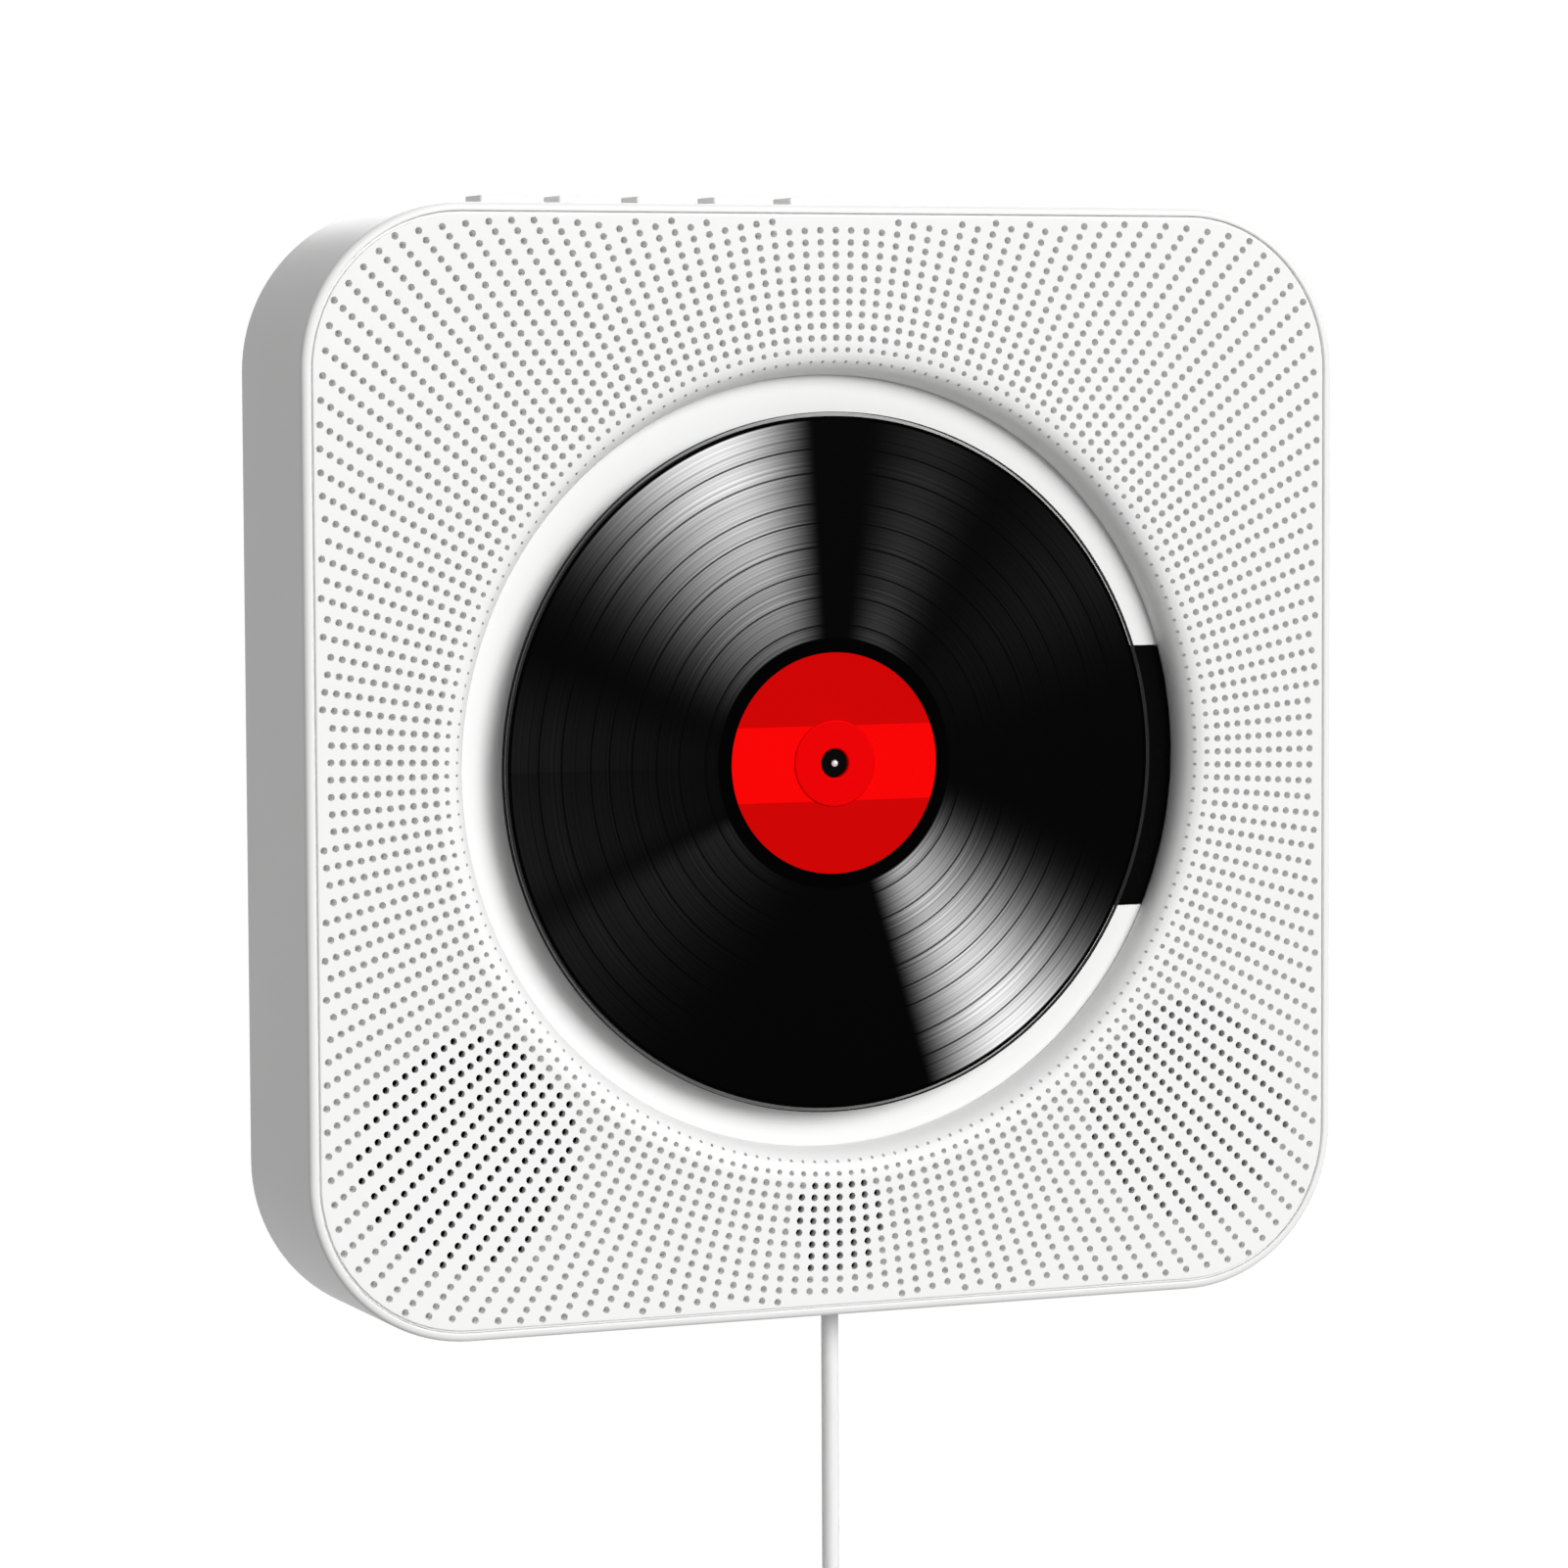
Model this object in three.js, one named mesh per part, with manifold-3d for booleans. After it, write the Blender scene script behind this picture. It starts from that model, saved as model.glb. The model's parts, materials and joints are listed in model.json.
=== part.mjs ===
// Wall-mounted CD player, in millimetres, seen from the front: +X right, +Z up, +Y towards the wall.
// The origin lies on the wall behind the centre of the disc. Depths are counted back from the front face.
import * as THREE from "three";
import { mergeVertices } from "three/addons/utils/BufferGeometryUtils.js";
import Module from "manifold-3d";

const wasm = await Module();
wasm.setup();

// Body
const bodySide = 190;
const bodyDepth = 34;
const bodyCorner = 28;
const bodyWall = 2.4;
const bodyEdge = 1;
const wallGap = 1;
const rimWidth = 1.5;
const grooveWidth = 0.4;
const ledgeWidth = 3;
const ledgeThickness = 2;
const seatGap = 0.3;
const runningGap = 0.1;
const overrun = 2;
const mergeTolerance = 0.0001;

// Front grille and its perforations
const panelThickness = 2.4;
const rollWidth = 4.6;
const wellDepth = 5.8;
const wellWall = 1.6;
const fingerGap = 6.3;
const rayCount = 200;
const rowPitch = 2.02;
const firstRowRadius = 68.5;
const holeRadius = 0.6;
const soundRayStep = 2;
const soundRowStep = 3;
const dimpleRayStep = 4;
const dimpleRowStep = 5;
const dimpleDepth = 2;
const fieldMargin = 0.9;
const ringLap = 0.4;

// Disc and spindle
const discDiameter = 120;
const discThickness = 1.2;
const discHole = 15;
const discSetback = 1.5;
const hubRise = 0.3;
const hubRecess = 5;
const turntableRadius = 15;
const turntableThickness = 2;
const turntableBoss = 3;
const shaftRadius = 0.75;
const shaftTipSetback = 0.9;
const spindleMotorRadius = 12;
const spindleMotorLength = 11.5;

// Disc tray
const trayThickness = 1.8;
const trayLap = 3.2;
const standoffRadius = 2.5;
const standoffMargin = 3;

// Drive chassis
const tabTop = 18.4;
const tabBottom = 26.7;
const tabInner = 30;
const platformWall = 1.8;
const baseSetback = 3.3;
const baseThickness = 1.6;
const baseMargin = 2;
const baseTop = 30;
const baseBottom = 42;
const basePlateRadius = 69;
const damperRadius = 4;
const damperNeck = 2.8;
const damperFlange = 1;
const damperX = 24;
const damperRight = 50;
const damperTop = 24.6;
const damperBottom = 35;
const screwRadius = 1.2;
const screwHeadRadius = 2.6;
const screwHeadThickness = 1.4;

// Optical pickup and its feed
const lensInner = 23.2;
const lensTravel = 32.3;
const lensRadius = 3;
const lensHeight = 4;
const lensFocus = 0.4;
const lensGap = 1.6;
const sledHalfLength = 6;
const sledHalfWidth = 16.5;
const sledThickness = 5;
const sledSetback = 1.1;
const towerHalf = 5;
const rodRadius = 1;
const rodSpacing = 28;
const rodLugThickness = 3;
const rodLugWidth = 4.8;
const gearModule = 0.8;
const gearThickness = 1.8;
const gearBacklash = 0.24;
const pinionTeeth = 12;
const driveGearTeeth = 28;
const rackGearTeeth = 14;
const addendumShare = 0.8;
const dedendumShare = 1.1;
const pressureAngle = THREE.MathUtils.degToRad(25);
const rackBarHeight = 2;
const rackThickness = 2.4;
const rackSetback = 8.2;
const gearAxleX = 26;
const gearAxleRadius = 1.5;
const pinionDirection = THREE.MathUtils.degToRad(200);
const sledMotorRadius = 7.5;

// Speakers
const speakerSideInset = 27.8;
const speakerBottomInset = 31.8;
const soundRadius = 19.7;
const speakerFlange = 21;
const speakerFlangeThickness = 1.6;
const speakerBasketDepth = 8;
const speakerBasketWall = 1.2;
const speakerMagnetRadius = 11;
const speakerMagnetLength = 5.4;
const surroundWidth = 3.5;
const surroundRise = 0.9;
const surroundThickness = 0.6;
const coneThickness = 0.8;
const coneDepth = 4.4;
const coilRadius = 6;
const coilLength = 3.4;
const coneTravel = 1;
const screenThickness = 0.5;

// Infrared receiver
const eyeWidth = 16;
const eyeHeight = 15;
const eyeDepth = 3;
const eyeInset = 15.5;
const eyeBoardMargin = 1;
const boardThickness = 1.6;

// Buttons
const buttonNames = ["previous", "play", "next", "volume_down", "volume_up"];
const buttonPitch = 14.05;
const buttonInset = 40.8;
const buttonWidth = 10;
const buttonLength = 7.8;
const buttonCorner = 1.6;
const buttonRise = 1.6;
const buttonTravel = 0.8;
const buttonFlange = 1;
const buttonStemRadius = 1.2;
const buttonStemLength = 4.2;
const keySwitchWidth = 6;
const keySwitchHeight = 3.6;
const keySwitchEntry = 0.7;

// Main board and sockets
const mainBoardLeft = 45;
const mainBoardInset = 7;
const mainBoardGap = 5.6;
const mainBoardStandoff = 3.4;
const chipHeight = 2.4;
const chipSide = 14;
const chipPlaceShares = [-2, 0, 2];
const socketStandoff = 5.3;
const socketSpacing = 9.1;
const socketMargin = 0.2;
const powerSocketSide = 9.6;
const powerNoseRadius = 4.2;
const powerBoreRadius = 2.9;
const powerBoreDepth = 9;
const powerPinRadius = 1;
const audioSocketInset = 2.4;
const audioSocketSide = 8;
const audioNoseRadius = 3.2;
const audioBoreRadius = 1.8;
const audioBoreDepth = 14;
const socketBack = 1.5;

// Rear cover, wall pads and wall bracket
const coverThickness = 2;
const coverRecess = 4;
const bossRadius = 4;
const bossLength = 12;
const bossCornerInset = 12.1;
const bossLowerX = 38;
const bossLowerInset = 9;
const padRadius = 7;
const padInset = 35;
const bracketWidth = 64;
const bracketHeight = 84;
const bracketThickness = 1.8;
const bracketZ = 20;
const bracketCorner = 5;
const bracketHoleRadius = 2.25;
const bracketHoleSpacing = 60;
const hookX = 20;
const hookWidth = 8;
const hookArm = 3;
const hookLip = 7;
const hookLipThickness = 2;
const hookTopZ = 42;
const liftTravel = 10;

// Pull cord and its switch
const cordX = 3.1;
const cordDepth = 12;
const cordRadius = 1.5;
const cordLength = 118;
const cordSides = 8;
const cordStep = 8;
const pullTravel = 5;
const switchSide = 9;
const switchWall = 1.2;
const plungerHead = 2.4;
const bushingFlange = 1.2;
const springWire = 0.3;
const springSlack = 0.6;
const springCurls = 6;
const springStepsPerCurl = 8;
const springSides = 5;
const knobRadius = 4;
const knobTopRadius = 2.4;
const knobLength = 12;
const knobEdge = 1;

// Smoothness of round pieces
const wellSegments = 64;
const discSegments = 72;
const roundSegments = 20;
const smallSegments = 12;
const tinySegments = 8;
const rollSteps = 4;
const cornerSegments = 4;
const perforationSides = 4;
const edgeSteps = 2;
const flankSteps = 2;

// Sizes worked out from the ones above
const bodyHalf = bodySide / 2;
const innerHalf = bodyHalf - bodyWall;
const recessHalf = bodyHalf - rimWidth;
const panelHalf = recessHalf - grooveWidth;
const discRadius = discDiameter / 2;
const wellRadius = discRadius + fingerGap;
const rollRadius = wellRadius + rollWidth;
const trayFront = wellDepth + seatGap;
const trayBack = trayFront + trayThickness;
const trayRadius = wellRadius + trayLap;
const standoffInset = (trayRadius - standoffMargin) / Math.SQRT2;
const discBack = discSetback + discThickness;
const turntableFront = discBack + runningGap;
const hubRadius = discHole / 2 - seatGap;
const hubBore = hubRecess / 2;
const bossCornerX = bodyHalf - bossCornerInset;
const bossLowerDrop = bodyHalf - bossLowerInset;
const padX = bodyHalf - padInset;
const coverBack = bodyDepth - coverRecess;
const coverFront = coverBack - coverThickness;
const platformBack = trayFront + platformWall;
const baseFront = trayFront + baseSetback;
const baseBack = baseFront + baseThickness;
const platformRadius = wellRadius;
const pocketRadius = platformRadius - platformWall;
const lensFront = discBack + lensGap;
const lensBack = lensFront + lensHeight;
const sledFront = platformBack + sledSetback;
const sledBack = sledFront + sledThickness;
const rodDepth = (sledFront + sledBack) / 2;
const rodBore = rodRadius + seatGap;
const rodLeft = lensInner - sledHalfLength - seatGap - rodLugThickness;
const rodRight = Math.sqrt(pocketRadius ** 2 - (rodSpacing / 2) ** 2) + platformWall / 3;
const rackFront = sledFront + rackSetback;
const rackBack = rackFront + rackThickness;
const rackTop = sledHalfWidth + seatGap;
const rackRoot = rackTop + rackBarHeight;
const rackPitchLine = rackRoot + dedendumShare * gearModule;
const rackGearRadius = (rackGearTeeth * gearModule) / 2;
const driveGearRadius = (driveGearTeeth * gearModule) / 2;
const pinionRadius = (pinionTeeth * gearModule) / 2;
const gearAxleZ = -rackPitchLine - rackGearRadius;
const gearDistance = driveGearRadius + pinionRadius;
const pinionX = gearAxleX + gearDistance * Math.cos(pinionDirection);
const pinionZ = gearAxleZ + gearDistance * Math.sin(pinionDirection);
const driveGearFront = rackBack + seatGap;
const driveGearBack = driveGearFront + gearThickness;
const sledMotorFront = baseBack + seatGap;
const sledMotorBack = driveGearFront - seatGap;
const sledMotorMiddle = (sledMotorFront + sledMotorBack) / 2;
const eyeDrop = bodyHalf - eyeInset;
const speakerX = bodyHalf - speakerSideInset;
const speakerDrop = bodyHalf - speakerBottomInset;
const screenFront = panelThickness + seatGap;
const flangeFront = screenFront + screenThickness + seatGap;
const flangeBack = flangeFront + speakerFlangeThickness;
const basketBack = flangeBack + speakerBasketDepth;
const magnetFront = basketBack + speakerBasketWall + seatGap;
const surroundOuter = speakerFlange - speakerFlangeThickness - speakerBasketWall;
const coneRadius = surroundOuter - surroundWidth - seatGap;
const coneFront = flangeFront + coneTravel + surroundRise;
const buttonDepth = bodyDepth / 2;
const buttonFlangeTop = innerHalf - seatGap;
const buttonStemEnd = buttonFlangeTop - buttonFlange - buttonStemLength;
const keySwitchTop = buttonStemEnd + keySwitchEntry;
const buttonBoardTop = keySwitchTop - keySwitchHeight;
const mainBoardRight = bodyHalf - mainBoardInset;
const mainBoardDepth = coverFront - mainBoardStandoff - boardThickness;
const mainBoardTop = buttonBoardTop - boardThickness - mainBoardGap;
const socketAxisDepth = mainBoardDepth - socketStandoff;
const audioSocketZ = bodyHalf - bodyCorner - audioSocketInset;
const powerSocketZ = audioSocketZ - socketSpacing;
const mainBoardBottom = powerSocketZ - powerSocketSide / 2 - socketMargin;
const bottomZ = -bodyHalf;
const innerBottom = bottomZ + bodyWall;
const bushingRadius = cordRadius + seatGap + bushingFlange;
const bushingTop = innerBottom + bushingFlange;
const springLow = bushingTop + seatGap;
const springLength = pullTravel + springCurls * 2 * springWire + springSlack;
const plungerBottom = springLow + springLength + seatGap;
const plungerTop = plungerBottom + plungerHead;
const plungerRadius = switchSide / 2 - switchWall - seatGap;
const switchTop = plungerTop + seatGap + switchWall;
const cordTop = bottomZ - seatGap;
const cordBottom = cordTop - cordLength;
const hookSlotHeight = hookArm + hookLip + liftTravel / 2;

const yAt = (depth) => depth - bodyDepth - wallGap;
const circleAngle = (share) => 2 * Math.PI * share;
const around = (radius, angle, x = 0, z = 0) =>
  new THREE.Vector2(x + radius * Math.cos(angle), z + radius * Math.sin(angle));

// Joining, cutting and placing

function solid(geometry) {
  const bare = geometry.index ? geometry.toNonIndexed() : geometry.clone();
  bare.deleteAttribute("normal");
  bare.deleteAttribute("uv");
  const merged = mergeVertices(bare, mergeTolerance);
  return new wasm.Manifold(
    new wasm.Mesh({
      numProp: 3,
      vertProperties: merged.attributes.position.array,
      triVerts: new Uint32Array(merged.index.array),
    }),
  );
}

function geometryOf(made) {
  const mesh = made.getMesh();
  const geometry = new THREE.BufferGeometry();
  geometry.setAttribute("position", new THREE.BufferAttribute(mesh.vertProperties, 3));
  geometry.setIndex(new THREE.BufferAttribute(mesh.triVerts, 1));
  geometry.computeVertexNormals();
  return geometry;
}

const join = (first, ...others) => others.reduce((whole, next) => whole.add(next), first);
const cut = (first, ...others) => others.reduce((rest, next) => rest.subtract(next), first);

// Basic solids: ranges are [low, high] along X and Z, and [front, back] in depth

function block(acrossX, inDepth, alongZ) {
  const width = acrossX[1] - acrossX[0];
  const depth = inDepth[1] - inDepth[0];
  const height = alongZ[1] - alongZ[0];
  const geometry = new THREE.BoxGeometry(width, depth, height);
  geometry.translate(acrossX[0] + width / 2, yAt(inDepth[0]) + depth / 2, alongZ[0] + height / 2);
  return solid(geometry);
}

function plate(plan, front, back, curveSegments = cornerSegments) {
  const settings = { depth: back - front, bevelEnabled: false, curveSegments };
  const geometry = new THREE.ExtrudeGeometry(plan, settings);
  geometry.rotateX(Math.PI / 2);
  geometry.translate(0, yAt(back), 0);
  return solid(geometry);
}

function barY(radius, front, back, x, z, segments = smallSegments) {
  const geometry = new THREE.CylinderGeometry(radius, radius, back - front, segments);
  geometry.translate(x, yAt((front + back) / 2), z);
  return solid(geometry);
}

function barX(radius, low, high, depth, z, segments = smallSegments) {
  const geometry = new THREE.CylinderGeometry(radius, radius, high - low, segments);
  geometry.rotateZ(-Math.PI / 2);
  geometry.translate((low + high) / 2, yAt(depth), z);
  return solid(geometry);
}

function barZ(radius, low, high, x, depth, segments = smallSegments) {
  const geometry = new THREE.CylinderGeometry(radius, radius, high - low, segments);
  geometry.rotateX(Math.PI / 2);
  geometry.translate(x, yAt(depth), (low + high) / 2);
  return solid(geometry);
}

// A profile runs outwards along its front or lower side, and back inwards behind or above it
function lathe(profile, segments) {
  const points = profile.map(([radius, height]) => new THREE.Vector2(radius, height));
  if (profile[0][0] > 0) points.push(points[0].clone());
  return new THREE.LatheGeometry(points, segments);
}

function turned(profile, segments = roundSegments, x = 0, z = 0) {
  const geometry = lathe(profile.map(([radius, depth]) => [radius, yAt(depth)]), segments);
  geometry.translate(x, 0, z);
  return solid(geometry);
}

function turnedUpright(profile, x, depth, segments = smallSegments) {
  const geometry = lathe(profile, segments);
  geometry.rotateX(Math.PI / 2);
  geometry.translate(x, yAt(depth), 0);
  return solid(geometry);
}

function roundedPlan(halfWidth, halfHeight, corner, x = 0, z = 0) {
  const plan = new THREE.Shape();
  const centres = [
    [x + halfWidth - corner, z - halfHeight + corner],
    [x + halfWidth - corner, z + halfHeight - corner],
    [x - halfWidth + corner, z + halfHeight - corner],
    [x - halfWidth + corner, z - halfHeight + corner],
  ];
  centres.forEach(([cx, cz], turn) => {
    const start = (turn - 1) * (Math.PI / 2);
    plan.absarc(cx, cz, corner, start, start + Math.PI / 2, false);
  });
  plan.closePath();
  return plan;
}

const squarePlan = (half) => roundedPlan(half, half, bodyCorner - (bodyHalf - half));

function circleHole(x, z, radius) {
  const hole = new THREE.Path();
  hole.absarc(x, z, radius, 0, circleAngle(1), true);
  return hole;
}

// Body shell

function outerBody() {
  const geometry = new THREE.ExtrudeGeometry(squarePlan(bodyHalf - bodyEdge), {
    depth: bodyDepth - 2 * bodyEdge,
    bevelSize: bodyEdge,
    bevelThickness: bodyEdge,
    bevelSegments: edgeSteps,
    curveSegments: cornerSegments,
  });
  geometry.rotateX(Math.PI / 2);
  geometry.translate(0, yAt(bodyDepth - bodyEdge), 0);
  return solid(geometry);
}

function screwPlaces() {
  return [
    [-bossCornerX, bossCornerX],
    [bossCornerX, bossCornerX],
    [-bossLowerX, -bossLowerDrop],
    [bossLowerX, -bossLowerDrop],
  ];
}

const buttonX = (place) => -bodyHalf + buttonInset + place * buttonPitch;

function buttonOpenings() {
  return buttonNames.map((name, place) => {
    const half = buttonWidth / 2 + seatGap;
    const x = buttonX(place);
    const reach = buttonLength / 2 + seatGap;
    return block(
      [x - half, x + half],
      [buttonDepth - reach, buttonDepth + reach],
      [innerHalf - overrun, bodyHalf + overrun],
    );
  });
}

function bodyShell() {
  const frontLedge = panelThickness + seatGap;
  const rearLedge = coverFront - seatGap;
  const hollow = join(
    plate(squarePlan(recessHalf), -overrun, frontLedge),
    plate(squarePlan(innerHalf - ledgeWidth), 0, bodyDepth),
    plate(squarePlan(innerHalf), frontLedge + ledgeThickness, rearLedge - ledgeThickness),
    plate(squarePlan(innerHalf), rearLedge, bodyDepth + overrun),
  );
  const bosses = screwPlaces().map(([x, z]) => barY(bossRadius, rearLedge - bossLength, rearLedge, x, z));
  const boardPosts = buttonBoardPosts().map((x) =>
    barZ(standoffRadius, buttonBoardTop + seatGap, innerHalf + bodyWall / 2, x, buttonDepth),
  );
  const screwHoles = screwPlaces().map(([x, z]) =>
    barY(screwRadius + seatGap, rearLedge - bossLength / 2, bodyDepth, x, z, tinySegments),
  );
  return cut(
    join(cut(outerBody(), hollow), ...bosses, ...boardPosts),
    ...buttonOpenings(),
    ...screwHoles,
    barX(powerNoseRadius + seatGap, innerHalf - overrun, bodyHalf + overrun, socketAxisDepth, powerSocketZ),
    barX(audioNoseRadius + seatGap, innerHalf - overrun, bodyHalf + overrun, socketAxisDepth, audioSocketZ),
    barZ(bushingRadius + seatGap, bottomZ - overrun, innerBottom + overrun, cordX, cordDepth),
  );
}

// Front grille

function nearSpeaker(x, z) {
  return Math.hypot(Math.abs(x) - speakerX, z + speakerDrop) < soundRadius;
}

function nearEye(x, z) {
  const margin = holeRadius * 2;
  return Math.abs(x) < eyeWidth / 2 - margin && Math.abs(z + eyeDrop) < eyeHeight / 2;
}

const overSound = (x, z) => nearSpeaker(x, z) || nearEye(x, z);

function insideField(x, z) {
  const straight = bodyHalf - bodyCorner;
  const overX = Math.max(0, Math.abs(x) - straight);
  const overZ = Math.max(0, Math.abs(z) - straight);
  return Math.hypot(overX, overZ) < panelHalf - fieldMargin - straight;
}

// Holes of one depth on every so many rays and rows, where the test lets them lie
function perforations(rayStep, rowStep, firstRow, back, lies) {
  const holes = [];
  for (let ray = 0; ray < rayCount; ray += rayStep) {
    const angle = circleAngle(ray / rayCount);
    for (let row = firstRow; row * rowPitch < bodySide; row += rowStep) {
      const place = around(firstRowRadius + row * rowPitch, angle);
      if (!lies(place.x, place.y)) continue;
      holes.push(barY(holeRadius, -overrun, back, place.x, place.y, perforationSides));
    }
  }
  return holes;
}

const soundHoles = () =>
  perforations(soundRayStep, soundRowStep, soundRowStep, panelThickness + overrun, overSound);

function dimples() {
  const clearOfRoll = rollRadius + 2 * ringLap + holeRadius;
  const firstRow = Math.ceil((clearOfRoll - firstRowRadius) / rowPitch);
  const lies = (x, z) => insideField(x, z) && !overSound(x, z);
  return perforations(dimpleRayStep, dimpleRowStep, firstRow, dimpleDepth, lies);
}

function wellRing() {
  const bend = [...Array(rollSteps + 1).keys()].map((step) => (step / rollSteps) * (Math.PI / 2));
  const outer = rollRadius + 2 * ringLap;
  const back = bend.map((angle) => [
    rollRadius - (rollWidth - wellWall) * Math.cos(angle),
    wellDepth - (wellDepth - panelThickness) * Math.sin(angle),
  ]);
  const front = bend.map((angle) => [
    rollRadius - rollWidth * Math.cos(angle),
    wellDepth * (1 - Math.sin(angle)),
  ]);
  const rolledFace = front.slice(0, -1);
  const lap = [[rollRadius, 0], [outer, 0], [outer, panelThickness]];
  return turned([...lap, ...back.reverse(), ...rolledFace], wellSegments);
}

function frontGrille() {
  const panel = plate(squarePlan(panelHalf), 0, panelThickness);
  const well = barY(rollRadius + ringLap, -overrun, panelThickness + overrun, 0, 0, wellSegments);
  return join(cut(panel, well, ...soundHoles(), ...dimples()), wellRing());
}

// Disc tray and drive chassis

function platformPlan(radius, left, top, bottom) {
  const low = -Math.asin(bottom / radius);
  const plan = new THREE.Shape();
  plan.moveTo(-left, -bottom);
  plan.lineTo(radius * Math.cos(low), -bottom);
  plan.absarc(0, 0, radius, low, Math.asin(top / radius), false);
  plan.lineTo(-left, top);
  plan.closePath();
  return plan;
}

function discTray() {
  const floor = barY(trayRadius, trayFront, trayBack, 0, 0, wellSegments);
  const window = platformPlan(
    platformRadius + seatGap, tabInner + seatGap, tabTop + seatGap, tabBottom + seatGap,
  );
  return cut(floor, plate(window, trayFront - overrun, trayBack + overrun));
}

function damperPlaces() {
  return [
    [-damperX, damperTop],
    [damperRight, damperTop],
    [-damperX, -damperBottom],
  ];
}

function chassisBase() {
  const whole = block(
    [-tabInner - baseMargin, platformRadius],
    [baseFront, baseBack],
    [-baseBottom, baseTop],
  );
  const round = barY(basePlateRadius, baseFront - overrun, baseBack + overrun, 0, 0, wellSegments);
  const holes = damperPlaces().map(([x, z]) =>
    barY(damperNeck + seatGap, baseFront - overrun, baseBack + overrun, x, z),
  );
  return cut(whole.intersect(round), ...holes);
}

function rodLug(z) {
  const half = rodLugWidth / 2;
  return block(
    [rodLeft, rodLeft + rodLugThickness],
    [platformBack - platformWall / 2, rodDepth + half],
    [z - half, z + half],
  );
}

function driveChassis() {
  const platform = plate(platformPlan(platformRadius, tabInner, tabTop, tabBottom), trayFront, baseBack);
  const pocket = plate(
    platformPlan(pocketRadius, tabInner - platformWall, tabTop - platformWall, tabBottom - platformWall),
    platformBack,
    baseBack + overrun,
  );
  const slotHalf = towerHalf + seatGap * 2;
  const lensSlot = block(
    [lensInner - slotHalf, lensInner + lensTravel + slotHalf],
    [trayFront - overrun, platformBack + overrun],
    [-slotHalf, slotHalf],
  );
  const rods = rodPlaces().map((z) => barX(rodBore, rodLeft - overrun, rodRight + seatGap, rodDepth, z));
  const spindleHole = barY(hubBore, trayFront - overrun, platformBack + overrun, 0, 0);
  const hollow = cut(join(platform, chassisBase()), pocket);
  const lugs = rodPlaces().map((z) => rodLug(z));
  const axle = barY(gearAxleRadius, baseFront, driveGearBack + seatGap, gearAxleX, gearAxleZ);
  return cut(join(hollow, ...lugs, axle), lensSlot, spindleHole, ...rods);
}

function damper([x, z]) {
  const front = trayBack + seatGap;
  const neckFront = baseFront - seatGap / 2;
  const neckBack = baseBack + seatGap;
  const bore = screwRadius + seatGap;
  return turned(
    [
      [bore, front],
      [damperRadius, front],
      [damperRadius, neckFront],
      [damperNeck, neckFront],
      [damperNeck, neckBack],
      [damperRadius, neckBack],
      [damperRadius, neckBack + damperFlange],
      [bore, neckBack + damperFlange],
    ],
    smallSegments,
    x,
    z,
  );
}

function screw(shankFront, headFront, x, z) {
  return turned(
    [
      [0, shankFront],
      [screwRadius, shankFront],
      [screwRadius, headFront],
      [screwHeadRadius, headFront],
      [screwHeadRadius, headFront + screwHeadThickness],
      [0, headFront + screwHeadThickness],
    ],
    tinySegments,
    x,
    z,
  );
}

const damperScrew = ([x, z]) =>
  screw(trayBack + seatGap, baseBack + damperFlange + 2 * seatGap, x, z);

// Spindle, turntable and disc

function turntable() {
  const bossFront = discSetback + seatGap;
  const bore = shaftRadius;
  return turned([
    [bore, bossFront],
    [hubBore - seatGap / 2, bossFront],
    [hubBore - seatGap / 2, turntableFront],
    [turntableRadius, turntableFront],
    [turntableRadius, turntableFront + turntableThickness],
    [turntableBoss, turntableFront + turntableThickness],
    [turntableBoss, trayFront - seatGap],
    [bore, trayFront - seatGap],
  ]);
}

function hubCap() {
  const front = discSetback - hubRise;
  return turned([
    [hubBore, front],
    [hubRadius - hubRise, front],
    [hubRadius, front + hubRise],
    [hubRadius, turntableFront],
    [hubBore, turntableFront],
  ]);
}

function spindleShaft() {
  const tip = shaftTipSetback;
  const back = platformBack + seatGap + spindleMotorLength / 2;
  const round = shaftRadius / 2;
  return turned(
    [
      [0, tip],
      [round, tip],
      [shaftRadius, tip + round],
      [shaftRadius, back],
      [0, back],
    ],
    tinySegments,
  );
}

function spindleMotor() {
  const front = platformBack + seatGap;
  const back = front + spindleMotorLength;
  const bore = barY(shaftRadius + seatGap, front - overrun, front + spindleMotorLength / 2 + seatGap, 0, 0);
  return cut(barY(spindleMotorRadius, front, back, 0, 0, roundSegments), bore);
}

function disc() {
  const inner = discHole / 2;
  return turned(
    [
      [inner, discSetback],
      [discRadius, discSetback],
      [discRadius, discBack],
      [inner, discBack],
    ],
    discSegments,
  );
}

// Pickup sled, lens, rods and gears

const rodPlaces = () => [rodSpacing / 2, -rodSpacing / 2];
const guideRod = (z) => barX(rodRadius, rodLeft, rodRight, rodDepth, z);

function rackPlan(left, right) {
  const pitch = Math.PI * gearModule;
  const halfTooth = (pitch - gearBacklash) / 4;
  const slope = Math.tan(pressureAngle);
  const tip = addendumShare * gearModule;
  const root = dedendumShare * gearModule;
  const plan = new THREE.Shape();
  plan.moveTo(left, -rackTop);
  const firstTooth = gearAxleX + pitch / 2 - pitch * Math.floor((gearAxleX - left) / pitch);
  for (let x = firstTooth; x < right - pitch / 2; x += pitch) {
    plan.lineTo(x - halfTooth - root * slope, -rackRoot);
    plan.lineTo(x - halfTooth + tip * slope, -rackPitchLine - tip);
    plan.lineTo(x + halfTooth - tip * slope, -rackPitchLine - tip);
    plan.lineTo(x + halfTooth + root * slope, -rackRoot);
  }
  plan.lineTo(right, -rackRoot);
  plan.lineTo(right, -rackTop);
  plan.closePath();
  return plan;
}

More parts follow.
